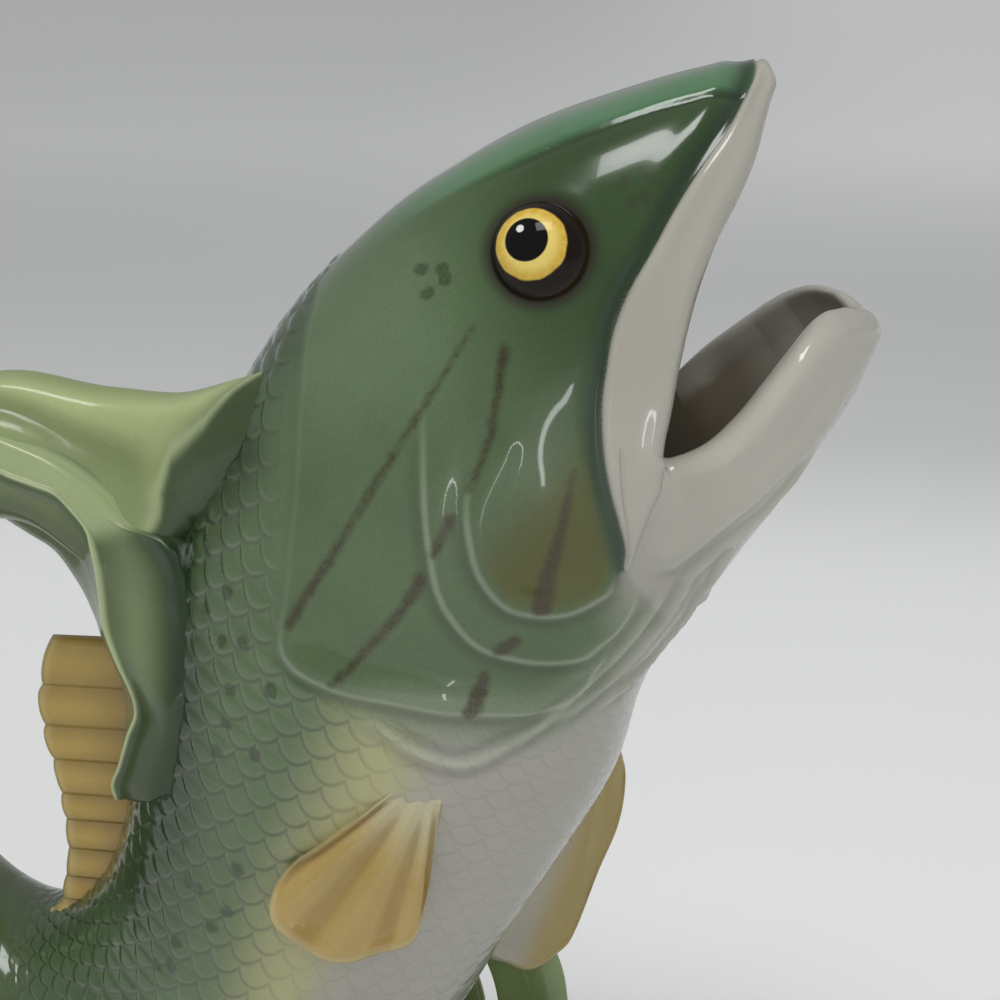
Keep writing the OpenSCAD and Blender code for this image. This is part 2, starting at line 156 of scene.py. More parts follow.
def angle_table(rows=1201, steps=721):
    """Angles at even steps of girth from back to belly, at rows of the form, half girths and shares."""
    angle = np.linspace(90, -90, 1601)
    x, y, z, share, _ = section(np.linspace(0, LAST, rows)[:, None], angle[None])
    d = np.sqrt(np.diff(x, axis=1) ** 2 + np.diff(y, axis=1) ** 2 + np.diff(z, axis=1) ** 2)
    girth = np.concatenate([np.zeros((rows, 1)), np.cumsum(d, 1)], 1)
    f = np.linspace(0, 1, steps)
    return (np.array([np.interp(f, g / g[-1], angle) for g in girth]), girth[:, -1],
            np.array([np.interp(f, g / g[-1], s) for g, s in zip(girth, share)]))


ANGLES, HALF, SHARES = angle_table()


def skin(u, f, inset=0.0):
    """Point of the skin at a row and a fraction of the half girth: 0 back, 1 belly, positive on the right."""
    u = np.clip(np.asarray(u, float), 0, LAST)
    f = (np.asarray(f, float) + 1) % 2 - 1
    u, f = np.broadcast_arrays(u, f)
    g = np.abs(f) * (ANGLES.shape[1] - 1)
    j = np.clip(g.astype(int), 0, ANGLES.shape[1] - 2)
    v = u / LAST * (ANGLES.shape[0] - 1)
    i = np.clip(v.astype(int), 0, ANGLES.shape[0] - 2)
    s, t = v - i, g - j
    angle = (ANGLES[i, j] * (1 - s) * (1 - t) + ANGLES[i + 1, j] * s * (1 - t)
             + ANGLES[i, j + 1] * (1 - s) * t + ANGLES[i + 1, j + 1] * s * t)
    x, y, z, _, swing = section(u, angle, inset)
    return np.stack([x, swing - np.where(f >= 0, 1, -1) * y, z], -1)


def outward(u, f):
    """Outward unit normal of the skin."""
    a = skin(np.minimum(u + .02, LAST), f) - skin(np.maximum(u - .02, 0), f)
    n = unit(np.cross(a, skin(u, f + .004) - skin(u, f - .004)))
    r = curve(ROWS, u)
    mid = np.stack([r[..., 0] + (r[..., 2] - r[..., 0]) * MID, r[..., 10],
                    r[..., 1] + (r[..., 3] - r[..., 1]) * MID], -1)
    return n * np.where(((skin(u, f) - mid) * n).sum(-1) < 0, -1, 1)[..., None]


def girth(u):
    return np.interp(u, np.linspace(0, LAST, len(HALF)), HALF)


def at_share(u, share):
    """Fraction of the half girth where a share of the section is reached."""
    v = np.asarray(u) / LAST * (len(HALF) - 1)
    i = np.clip(v.astype(int), 0, len(HALF) - 2)
    rows = SHARES[i] + (SHARES[i + 1] - SHARES[i]) * (v - i)[:, None]
    return np.array([np.interp(k, row, np.linspace(0, 1, row.size)) for k, row in zip(share, rows)])


# Corner of the mouth: its row and its fraction of the half girth.
CORNER, CORNER_F = 3.25, .62


def mouth_edges(u):
    """Fractions of the half girth where the upper lip and the jaw's rim lie, drawn together at the corner."""
    k = np.minimum(u, CORNER)
    m = curve(MOUTH, k)
    lip, rim = at_share(k, m[:, 1]), at_share(k, m[:, 2])
    close = rounded(CORNER - k, .75)
    mid = CORNER_F + (lip + rim - 2 * CORNER_F) / 2 * close
    gap = (rim - lip) / 2 * close
    return mid - gap, mid + gap


# Lines on the right side of the skin, as row and fraction of the half girth.
CREASE = [(.0, .150), (.77, .150), (1.62, .145), (2.32, .147), (3.35, .145), (4.18, .130), (5, .12)]
LIP_EDGE = [
    (.22, 0), (.25, .05), (.36, .10), (.53, .145), (.70, .180), (.90, .215), (1.20, .255), (1.60, .298),
    (2.00, .338), (2.35, .370), (2.72, .398), (3.05, .430), (3.30, .464), (3.55, .500), (3.78, .545),
    (3.95, .590), (4.08, .635), (4.20, .668), (4.36, .686), (4.42, .696)]
LIP_TAIL = [
    (CORNER, CORNER_F), (3.42, .645), (3.62, .655), (3.85, .668), (4.08, .682), (4.30, .694), (4.42, .698)]
# The lip's rim in front of the corner: row, and share of the fraction where the mouth's upper edge lies.
FREE_RIM = [
    (0, 0), (0, .35), (0, .8), (.04, 1), (.20, 1), (.45, 1), (.85, 1), (1.30, 1), (1.75, 1), (2.20, 1),
    (2.60, 1), (2.90, 1), (3.12, 1), (CORNER, 1)]
CHEEK = [(4.97, .432), (5.28, .455), (5.50, .475), (5.70, .508), (5.85, .547), (5.87, .598), (5.68, .642),
         (5.37, .675), (4.83, .698), (4.50, .693)]
MIDDLE = [(5.17, .320), (5.43, .378), (5.77, .432), (6.03, .475), (6.23, .515), (6.32, .568), (6.27, .615),
          (6.07, .677), (5.83, .718), (5.55, .738), (5.07, .753), (4.62, .745), (4.30, .725)]
GILL = [(5.52, .062), (5.60, .113), (5.73, .147), (5.93, .200), (6.20, .245), (6.42, .278), (6.67, .302),
        (6.87, .320), (7.10, .335), (7.25, .347), (7.31, .372), (7.30, .405), (7.22, .460), (7.05, .527),
        (6.92, .578), (6.78, .623), (6.65, .662), (6.52, .698), (6.37, .725), (6.18, .748), (5.98, .760),
        (5.72, .762), (5.40, .768), (5.00, .770), (4.60, .762), (4.20, .740)]
JAW_LINE = [(4.22, .713), (3.97, .730), (3.78, .745), (3.35, .760), (2.80, .775), (2.32, .792), (1.88, .815),
            (1.38, .825), (1.08, .840)]
FOLDS = [
    [(3.95, .760), (4.50, .775), (5.08, .782), (5.83, .768), (6.43, .728), (6.85, .682), (7.17, .638),
     (7.28, .580), (7.27, .520), (7.27, .465)],
    [(3.65, .780), (3.88, .792), (4.40, .810), (5.07, .818), (5.75, .800), (6.25, .760), (6.53, .725)],
    [(3.50, .833), (3.80, .848), (4.37, .875), (5.08, .883), (5.75, .843), (6.23, .792)],
    [(3.95, .777), (3.53, .787), (3.02, .807), (2.60, .830), (2.22, .845), (1.80, .860)],
    [(3.02, .818), (3.47, .843), (4.03, .900)]]
# Brushed strokes: places, and half width in millimetres at each end.
STROKES = [
    ([(4.37, .318), (4.82, .338), (5.22, .352), (5.65, .365), (6.08, .370), (6.48, .367), (6.82, .357),
      (7.08, .350)], .4, 1.2),
    ([(4.20, .365), (4.45, .395), (4.73, .425), (4.93, .443), (5.15, .455), (5.33, .465)], 1.1, .7),
    ([(4.20, .540), (4.52, .568), (4.82, .590), (5.08, .605), (5.33, .620), (5.55, .633)], .6, 2.2),
    ([(5.65, .473), (5.85, .478), (5.98, .480)], 1.3, 1.0),
    ([(6.20, .482), (6.33, .482), (6.55, .475), (6.82, .460), (7.03, .448), (7.20, .435)], 1.4, .8),
    ([(6.03, .630), (6.10, .625), (6.20, .615)], 1.4, 1.4),
    ([(6.45, .613), (6.57, .615), (6.75, .615)], 1.2, 2.0)]
# Where the tail fin lies on the back, beside which painted shade darkens the trunk; small dabs on the head and
# spots on the side.
LOBE_FOOT = [(6.58, .165), (6.80, .158), (7.07, .135), (7.30, .125), (7.47, .147), (7.63, .185), (7.82, .215),
             (8.03, .235), (8.28, .247), (8.60, .255), (8.90, .250), (9.20, .230), (9.60, .220)]
DABS = [(4.62, .215), (4.42, .233), (4.42, .246), (4.67, .247), (2.30, .260), (2.02, .268), (2.30, .292),
        (2.16, .295)]
SPOTS = [
    (7.23, .247), (7.43, .220), (7.50, .268), (7.40, .300), (7.70, .305), (7.53, .362), (7.92, .315),
    (8.13, .315), (7.97, .372), (8.90, .295), (8.80, .395), (9.12, .345), (9.13, .323), (9.13, .398),
    (9.33, .385), (9.67, .335), (9.85, .253), (9.98, .320), (9.88, .343)]
EYE_ROW, EYE_F = 3.38, .285


def through(points, n=4):
    """Places along a smooth curve through given ones."""
    return curve(points, np.linspace(0, len(points) - 1, (len(points) - 1) * n + 1))


def on_skin(line):
    places = through(line)
    return skin(places[:, 0], places[:, 1])


def to_right(p):
    """Points mirrored onto the right side."""
    return p * [1, 0, 1] - [0, 1, 0] * np.abs(p[..., 1:2])


def reach(points, path, margin=9.0):
    """Distance from points to a path, up to a margin, and how far along the path."""
    near = ((points > path.min(0) - margin) & (points < path.max(0) + margin)).all(-1)
    q = points[near]
    best, far = np.full(len(q), float(margin)), np.zeros(len(q))
    for k, (a, b) in enumerate(zip(path[:-1], path[1:])):
        t = np.clip((q - a) @ (b - a) / ((b - a) @ (b - a) + 1e-9), 0, 1)
        d = norm(q - a - t[:, None] * (b - a))
        far = np.where(d < best, (k + t) / (len(path) - 1), far)
        best = np.minimum(best, d)
    d, along = np.full(len(points), float(margin)), np.zeros(len(points))
    d[near], along[near] = best, far
    return d, along


def within(u, f, line, rest):
    """Whether places lie inside the loop of a line and the places that close it."""
    loop = np.concatenate([through(line), rest])
    inside = np.zeros(len(u), bool)
    for (a, b), (c, d) in zip(loop, np.roll(loop, -1, 0)):
        inside ^= ((b > f) != (d > f)) & (u < (c - a) * (f - b) / (d - b + 1e-12) + a)
    return inside


def rounded(d, w):
    """Quarter round over a width w from an edge at d = 0."""
    return np.sqrt(1 - (1 - np.clip(d / w, 0, 1)) ** 2)


def bump(d, w):
    return np.exp(-(d / w) ** 2)


def srgb(*c):
    c = np.array(c) / 255.0
    return np.where(c <= .04045, c / 12.92, ((c + .055) / 1.055) ** 2.4)


def blend(a, b, k):
    return a + (b - a) * np.asarray(k)[..., None]


# Scales: staggered rows of round lobes, the one nearer the head lying on top.
ROW_PITCH, SCALES, LOBE_A, LOBE_B = 4.4, 19, .62, 1.75
SCALE_ROWS = np.linspace(5, 14, 400)
mid_line = skin(SCALE_ROWS, .35)
MID_LENGTH = np.concatenate([[0], np.cumsum(norm(np.diff(mid_line, axis=0)))])


def scale_lattice(u, f):
    """Rows and columns of scales at places of the skin."""
    return np.interp(u, SCALE_ROWS, MID_LENGTH) / ROW_PITCH, np.abs(f) * SCALES


def scale_edge(s, t):
    """Above 0 on a scale of the upper row, below 0 on the one under it."""
    k = np.floor(s)
    across = (t + (k + 1) * .5) % 1 - .5
    return 1 - np.sqrt((across / LOBE_A) ** 2 + ((s - k + 1) / LOBE_B) ** 2)


def scale_amount(u, f, gill):
    """How strongly scales stand out: none on the head, faint on the belly."""
    g = np.abs(f)
    back = ease((u - 5.0 - 6 * np.clip(g - .03, 0, .3) + 1.4 * ramp(g, .45, .2)) / .5)
    belly = 1 - .76 * ramp(g, .42, .14)
    return back * belly * drop(u, 11.6, 1.2) * ease((gill - .6) / (1.6 + 4 * ramp(g, .4, .1)))


# Colours of the glazes.
# The third colour here, for the crown, is a painted sheen: lighter and bluer, as the sky's reflection.
NOSE_GREEN, HEAD_GREEN, CROWN_PAINTED_SHEEN = srgb(48, 74, 34), srgb(82, 104, 67), srgb(82, 126, 86)
# The first colour here is a dark green of painted shade: in the groove beside the lip, on the upper lobe's end
# face and on the lower lobe's right side.
PAINTED_SHADE_GREEN, CHEEK_OLIVE, SOCKET_BROWN = srgb(32, 54, 32), srgb(78, 81, 6), srgb(40, 28, 14)
BACK_GREEN, SIDE_GREEN = srgb(58, 80, 52), srgb(92, 112, 78)
CREAM, BELLY = srgb(178, 176, 128), srgb(170, 168, 157)
# The second colour here is painted shade for the side of the tail that faces down and into its loop.
TAIL_LIGHT, TAIL_PAINTED_SHADE, WHITE = srgb(146, 160, 109), srgb(92, 106, 72), srgb(190, 187, 175)
# Inside the mouth the white is painted darker deeper in and lighter at the jaw's tip: painted shade and
# painted light.
MOUTH_PAINTED_SHADE, RIDGE_PALE = srgb(146, 138, 119), srgb(190, 196, 176)
PLATE_GREEN, THROAT_GREEN, FLANK_GREEN = srgb(108, 130, 98), srgb(150, 162, 138), srgb(72, 92, 60)
# The first colour here is painted shade on the trunk beside where the tail fin lies on it.
LOBE_FOOT_PAINTED_SHADE, SCALE_PALE, STROKE_BROWN = srgb(36, 56, 28), srgb(172, 186, 152), srgb(52, 38, 12)
SPOT_GREEN, MOUTH_BACK_PAINTED_SHADE, JAW_TIP_PAINTED_LIGHT = srgb(50, 62, 34), srgb(140, 131, 112), srgb(232, 228, 218)
JAW_PAINTED_SHADE, LIP_WHITE, RIDGE_OLIVE = srgb(140, 129, 108), srgb(180, 177, 165), srgb(184, 196, 138)
VALLEY_OLIVE, LOBE_GREEN, LOBE_SHADE = srgb(108, 122, 76), srgb(78, 98, 62), srgb(62, 78, 46)
# On the lower lobe, painted shade darkens its underside facet and its back, and a painted highlight lightens
# the middle of its face.
LOBE_RIM, FOLD_UNDERSIDE_PAINTED_SHADE, FOLD_OLIVE = srgb(166, 178, 138), srgb(104, 118, 88), srgb(166, 180, 132)
FOLD_GREEN, FOLD_PAINTED_HIGHLIGHT, FOLD_SHADE = srgb(84, 99, 62), srgb(128, 144, 104), srgb(48, 64, 32)
FOLD_PALE, RIB_BROWN, FIN_EDGE = srgb(186, 198, 156), srgb(128, 98, 40), srgb(214, 200, 150)
BACK_FIN, FIN_ROOT, FAR_FIN = srgb(188, 158, 76), srgb(186, 182, 150), srgb(164, 144, 78)
IRIS, IRIS_DEEP, IRIS_PALE = srgb(228, 196, 88), srgb(212, 166, 58), srgb(240, 214, 120)
EYE_RING, VEIN_GREEN, BARE_CLAY = srgb(24, 16, 9), srgb(58, 84, 48), srgb(214, 208, 194)
OCHRE, OCHRE_DEEP, WEED_LIGHT = srgb(176, 150, 86), srgb(158, 128, 62), srgb(146, 164, 108)
WEED_DEEP = srgb(78, 100, 60)


def surface(u, f):
    """Skin with its relief, and the fields that the glaze reads, at places of the head, trunk and tail."""
    shape = np.broadcast_shapes(np.shape(u), np.shape(f))
    u, f = (np.broadcast_to(a, shape).ravel().astype(float) for a in (u, f))
    f = (f + 1) % 2 - 1
    g = np.abs(f)
    p, n = skin(u, f), outward(u, f)
    q = to_right(p)
    # The third of these fields holds painted shade for the hollows beside plates, folds and creases.
    h, pale, painted_hollow_shade = np.zeros(len(u)), np.zeros(len(u)), np.zeros(len(u))
    stroke, spot = np.full(len(u), 9.0), np.full(len(u), 9.0)
    colour = np.repeat(HEAD_GREEN[None], len(u), 0)
    gill, plates, ridges = np.full(len(u), 12.0), np.full((len(u), 3), 9.0), np.zeros((len(u), 3))
    head = np.flatnonzero(u < 8)
    if len(head):
        U, G, Q = u[head], g[head], q[head]
        H, P, D = h[head], pale[head], painted_hollow_shade[head]
        lip = reach(Q, on_skin(LIP_EDGE), 14)[0]
        covered = within(U, G, LIP_EDGE, LIP_TAIL[::-1] + [(2.5, .57), (1.5, .51), (0, .48), (0, 0)])
        under = np.where(covered, np.minimum(lip, reach(Q, on_skin(LIP_TAIL))[0]), 0)
        clear = ramp(lip, .6, 3)
        lip = np.where(within(U, G, LIP_EDGE, [(4.6, .70), (5.6, .74), (7.4, .40), (6.0, 0)]), lip, -lip)

        def step(line, rest, rise, strength):
            """Raises what lies inside a line, with painted shade just outside its edge; the glaze paints its
            rim pale.
            """
            d = reach(Q, on_skin(line), 12)[0]
            signed = np.where(within(U, G, line, rest), d, -d)
            H[:] += strength * clear * rise * ramp(signed, -.7, 2) * drop(signed, 2, 7)
            D[:] = np.maximum(D, .8 * strength * bump(signed + 1.1, 1.3))
            return signed, strength * clear

        crown = (np.interp(U, *np.array(CREASE).T) - G) * girth(U)
        fade = ramp(U, .3, .7) * drop(U, 3.0, 1.2)
        H += fade * (.5 * ramp(crown, -1, 2) - .25 * bump(crown + 1, 1.1))
        # Painted shade in the crease below the crown.
        D[:] = np.maximum(D, .75 * fade * bump(crown + .8, .9))
        rear = .15 + .85 * ramp(G, .33, .06)
        rear = rear * ramp(G, .05, .16) * (1 - drop(U, 5.35, .3) * ramp(G, .66, .04))
        signed_gill, edge_gill = step(
            GILL, [(3, .70), (-1, .60), (-1, -.1), (5.40, -.1), (5.44, .01)], 1.2, rear)
        signed_middle, edge_middle = step(
            MIDDLE, [(3.98, .705), (3, .64), (3, .05), (4.2, .10), (4.65, .204), (4.91, .262)], .9,
            ramp(G, .32, .14) * ramp(U, 4.25, .5))
        signed_cheek, edge_cheek = step(
            CHEEK, [(4.1, .687), (3, .66), (3, .29), (4.35, .386), (4.66, .409)], 1.0,
            ramp(G, .432, .08) * ramp(U, 4.35, .5))
        plates[head] = np.stack([signed_gill, signed_middle, signed_cheek], 1)
        ridges[head] = np.stack([edge_gill, edge_middle, edge_cheek], 1)
        jaw, far = reach(Q, on_skin(JAW_LINE))
        plate = np.where(within(U, G, JAW_LINE, [(.5, .6), (3.2, .6)]), jaw, -jaw)
        weight = drop(far, .75, .25) * ramp(U, .8, .6) * drop(U, 3.8, .35)
        H += 1.05 * weight * ramp(plate, -.8, 2.4) * drop(plate, 2, 6.5) * clear
        P[:] = np.maximum(P, .8 * weight * bump(plate - .8, 1.1))
        # Painted shade in the hollow below the jaw's plate.
        D[:] = np.maximum(D, .8 * weight * bump(plate + 1.2, 1.2))
        for line in FOLDS:
            d, far = reach(Q, on_skin(line))
            weight = ease(far / .12) * drop(far, .8, .2)
            H += weight * (.85 * bump(d, 1.2) - .25 * bump(d - 2.4, 1.2))
            P[:] = np.maximum(P, weight * bump(d, 1.1))
            # Painted shade in the hollow beside each fold.
            D[:] = np.maximum(D, .7 * weight * bump(d - 2.5, 1.2))
        H += (.5 * bump(lip - 5.5, 2.2) * drop(U, 1.2, 1.5)
              - .7 * bump(lip - 1.2, 1.6) * ramp(G, .02, .16))
        H += 1.1 * (1 - ease(U / .8)) * drop(G, .1, .2)
        H[:] = H * (1 - ease(under / 2)) - 1.3 * ease(under / 1.5) * drop(U, 3.1, .25)
        eye = norm(Q - skin(EYE_ROW, EYE_F))
        H += .12 * bump(eye - 11.4, 2.2) - .5 * ease((11 - eye) / 2.5)
        # tones of the head
        C = blend(NOSE_GREEN, HEAD_GREEN, ramp(U, 2.8, 2.3))
        C = blend(C, PLATE_GREEN, .7 * bump(U - 5.3, .85) * bump(G - .25, .12))
        # Painted sheen: the crown above the crease is lighter and bluer, as the sky's reflection.
        C = blend(C, CROWN_PAINTED_SHEEN, ramp(crown, -1, 2.5) * drop(U, 4, 1.5))
        C = blend(C, CHEEK_OLIVE, .95 * ramp(signed_cheek, .5, 4) * ramp(G, .49, .09) * ramp(lip, 1, 4))
        C = blend(C, SOCKET_BROWN, .95 * drop(eye, 8.8, 3.6))
        # Painted shade in the groove beside the lip.
        C = blend(C, PAINTED_SHADE_GREEN, .9 * bump(lip - 1.2, 2.3) * drop(U, 4.35, .3))
        bare = np.maximum(ramp(-signed_middle, .5, 12) * ramp(G, .70, .05) * drop(U, 5, .6),
                          ease((.2 - lip) / 1.2) * drop(U, 4.3, .3))
        bare = np.maximum(
            bare, .75 * ramp(G, .64, .05) * drop(U, 4.25, 1.1) * ease((1.5 - signed_cheek) / 3))
        C = blend(C, blend(WHITE, BELLY, ramp(U, 2.4, 2)), bare)
        colour[head], h[head], pale[head], painted_hollow_shade[head], gill[head] = C, H, P, D, -signed_gill
        for line, a, b in STROKES:
            d, far = reach(Q, on_skin(line))
            stroke[head] = np.minimum(stroke[head], d - (a + (b - a) * far))
        for place in DABS:
            spot[head] = np.minimum(spot[head], norm(Q - skin(*place)) - 1.3)
    low = ramp(g, .40, .14)
    colour = blend(colour, THROAT_GREEN, .55 * low * ramp(gill, -9, 9) * ramp(u, 4.2, .8))
    body = (ramp(gill, -.4, 2.5) * (1 - low) + ease(gill / 11) * low) * ramp(u, 4.2, .8)
    for place in SPOTS:
        spot = np.minimum(spot, norm(q - skin(*place)) - 1.5)
    # tones of the trunk and the tail
    line = np.interp(u, [5, 7, 7.5, 8, 9, 10, 11, 13], [.40, .37, .40, .40, .38, .40, .44, .52])
    C = blend(BACK_GREEN, SIDE_GREEN, ramp(g, .08, .18))
    C = blend(C, FLANK_GREEN, ramp(u, 8.2, 1) * drop(g, .30, .1))
    # Painted shade on the trunk beside where the tail fin lies on it.
    C = blend(C, LOBE_FOOT_PAINTED_SHADE, .9 * bump(reach(p, on_skin(LOBE_FOOT), 20)[0], 8))
    C = blend(C, CREAM, ease((g - line) / .15))
    C = blend(C, BELLY, ramp(g - line, .13, .10))
    # Painted shade on the side of the tail that faces down and into its loop.
    C = blend(C, TAIL_PAINTED_SHADE, ramp(u, 11.5, 2.5) * drop(g, .5, .3))
    C = blend(C, TAIL_LIGHT, ramp(u, 11.5, 3) * ramp(g, .35, .3))
    colour = blend(colour, C, body)
    # Painted shade darkens the hollows beside plates, folds and creases; the glaze paints ridges pale.
    colour = blend(colour * (1 - .36 * painted_hollow_shade)[:, None], RIDGE_PALE, .42 * pale)
    s, t = scale_lattice(u, f)
    amount = scale_amount(u, f, gill)
    edge = scale_edge(s, t)
    h += amount * (.34 * ramp(edge, -.10, .2) + .16 * (s - np.floor(s)))
    p = p + n * h[:, None]
    data = {"tint": colour, "stroke": stroke, "spot": spot, "scales": np.stack([s, t, amount], 1),
            "plates": plates, "ridges": ridges}
    data = {k: v.reshape(shape + v.shape[1:]) for k, v in data.items()}
    return p.reshape(shape + (3,)), n.reshape(shape + (3,)), data


# Meshes: a piece is a set of grids of points, welded where they meet.
WELD = 500  # cells to a millimetre; points in the same cell become one


def grid_part(points, out, wrap=False, data=None, ends=(0, 0), cap=False):
    """One grid. out points away from the piece; ends counts the extra rows at either end that only shape
    normals. A cap leaves the normals of its edges to the grids that it closes."""
    d0 = np.gradient(points, axis=0)
    d1 = (np.roll(points, -1, 1) - np.roll(points, 1, 1)) / 2 if wrap else np.gradient(points, axis=1)
    normals = unit(np.cross(d1, d0))
    flip = (normals * out).sum() < 0
    a, b = ends[0], len(points) - ends[1]
    normals = (-normals if flip else normals)[a:b] * (0 if cap else 1)
    return {"points": points[a:b], "normals": normals, "flip": flip, "wrap": wrap,
            "data": {k: v[a:b] for k, v in (data or {}).items()}}


def piece(name, parts, nodes, material):
    """Welds grids into one mesh that stands for CAD nodes."""
    points, normals, faces, base = [], [], [], 0
    keys = sorted({k for part in parts for k in part["data"]})
    data = {k: [] for k in keys}
    for part in parts:
        n, m = part["points"].shape[:2]
        i, j = lattice(np.arange(n - 1), np.arange(m if part["wrap"] else m - 1))
        i, j = i.ravel(), j.ravel()
        k = (j + 1) % m
        quad = np.stack([i * m + j, i * m + k, (i + 1) * m + k, (i + 1) * m + j], 1)
        faces.append((quad[:, ::-1] if part["flip"] else quad) + base)
        points.append(part["points"].reshape(-1, 3))
        normals.append(part["normals"].reshape(-1, 3))
        for key in keys:
            width = next(p["data"][key].shape[2:] for p in parts if key in p["data"])
            value = part["data"].get(key)
            data[key].append(np.zeros((n * m,) + width) if value is None else value.reshape((n * m,) + width))
        base += n * m
    points, normals, faces = np.concatenate(points), np.concatenate(normals), np.concatenate(faces)
    cells = np.round(points * WELD).astype(np.int64)
    _, first, place = np.unique(cells, axis=0, return_index=True, return_inverse=True)
    place = place.ravel()
    summed = np.zeros((len(first), 3))
    np.add.at(summed, place, normals)
    faces = place[faces]
    order = np.sort(faces, 1)
    double = (order[:, 1:] == order[:, :-1]).sum(1)
    kept = faces[double == 0].tolist()
    for row in faces[double == 1]:
        equal = row == np.roll(row, -1)
        if equal.any():
            kept.append(row[~equal].tolist())
    mesh = bpy.data.meshes.new(name)
    mesh.from_pydata((points[first] * .001).tolist(), [], kept)
    mesh.validate()
    mesh.polygons.foreach_set("use_smooth", np.ones(len(mesh.polygons), bool))
    for key in keys:
        value = np.concatenate(data[key])[first].astype(np.float32)
        if value.ndim == 1:
            mesh.attributes.new(key, "FLOAT", "POINT").data.foreach_set("value", value)
        elif key == "tint":
            full = np.concatenate([value, np.ones((len(value), 1), np.float32)], 1)
            mesh.attributes.new(key, "FLOAT_COLOR", "POINT").data.foreach_set("color", full.ravel())
        else:
            mesh.attributes.new(key, "FLOAT_VECTOR", "POINT").data.foreach_set("vector", value.ravel())
    mesh.update()
    mesh.normals_split_custom_set_from_vertices(unit(summed).tolist())
    mesh.materials.append(material)
    made = bpy.data.objects.new(name, mesh)
    scene.collection.objects.link(made)
    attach(made, "root")
    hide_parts(*nodes)
    return made


# Glazes.
class Wire:
    """One output of a shader node. Sums on it add Math nodes to its material."""

    def __init__(self, tree, socket=None):
        self.tree, self.socket = tree, socket

    def node(self, kind, settings=None, values=None, out=0):
        """Adds a node: its type, its settings, then the values or links of its sockets."""
        made = self.tree.nodes.new("ShaderNode" + kind)
        for key, value in (settings or {}).items():
            setattr(made, key, value)
        for key, value in (values or {}).items():
            if isinstance(value, Wire):
                self.tree.links.new(value.socket, made.inputs[key])
            else:
                made.inputs[key].default_value = value
        return Wire(self.tree, made.outputs[out] if made.outputs else None)

    def math(self, operation, *others):
        return self.node("Math", {"operation": operation}, dict(enumerate((self,) + others)))

    def __add__(self, other):
        return self.math("ADD", other)

    def __sub__(self, other):
        return self.math("SUBTRACT", other)

    def __mul__(self, other):
        return self.math("MULTIPLY", other)

    def __truediv__(self, other):
        return self.math("DIVIDE", other)

    def __pow__(self, other):
        return self.math("POWER", other)

    def __rsub__(self, other):
        return self * -1 + other

    def __abs__(self):
        return self.math("ABSOLUTE")

    __radd__, __rmul__ = __add__, __mul__

    def rise(self, low, high):
        """0 up to low, 1 from high, smooth between."""
        return self.node("MapRange", {"interpolation_type": "SMOOTHSTEP"},
                         {"Value": self, "From Min": low, "From Max": high})

    def pick(self, a, b):
        """Colour a where this is 0, b where it is 1."""
        colour = [v if isinstance(v, Wire) else tuple(v) + (1,) for v in (a, b)]
        return self.node("Mix", {"data_type": "RGBA"}, {0: self, 6: colour[0], 7: colour[1]}, 2)

    def parts(self, count=3):
        """The first parts of a vector."""
        made = self.node("SeparateXYZ", None, {0: self}).socket.node
        return [Wire(self.tree, out) for out in made.outputs[:count]]

    def grey(self):
        """A vector with this number in all its parts."""
        return self.node("CombineXYZ", None, {0: self, 1: self, 2: self})

    def field(self, name, out="Fac"):
        return self.node("Attribute", {"attribute_name": name}, None, out)

    def noise(self, scale, detail=2.0, rough=.5, where=None):
        values = {"Scale": scale, "Detail": detail, "Roughness": rough}
        values["Vector"] = where or self.node("TexCoord", None, None, "Object")
        return self.node("TexNoise", None, values, "Fac")


def glaze(name, build, coat=.6, index=1.5):
    """A glazed material. build(start) gives its colour, roughness and the height in mm of its fine relief."""
    material = bpy.data.materials.new(name)
    material.use_nodes = True
    tree = material.node_tree
    tree.nodes.clear()
    start = Wire(tree)
    colour, rough, height = build(start)
    shade = start.node("BsdfPrincipled", None, {"Base Color": colour, "Roughness": rough, "Coat Weight": coat,
                                                "Coat Roughness": .03, "IOR": index})
    if height is not None:
        fine = start.node("Bump", None, {"Height": height, "Distance": .001, "Strength": 1.0})
        tree.links.new(fine.socket, shade.socket.node.inputs["Normal"])
    start.node("OutputMaterial", None, {"Surface": shade})
    return material


def shaded(start, colour, light):
    """A colour times a number."""
    return start.node("VectorMath", {"operation": "MULTIPLY"}, {0: colour, 1: light.grey()})


def speckled(start, colour, amount=.10):
    """Airbrushed colour: a fine speckle and slow clouds of tone."""
    grain = start.noise(2600, 2).rise(.30, .70)
    cloud = start.noise(60, 3).rise(.3, .7)
    light = (grain - .5) * amount + (cloud - .5) * amount * .8 + 1
    return shaded(start, colour, light)


def uneven(start, rough, spread=.06):
    """Roughness that wavers slowly over a glaze."""
    return start.noise(40, 2) * spread + rough


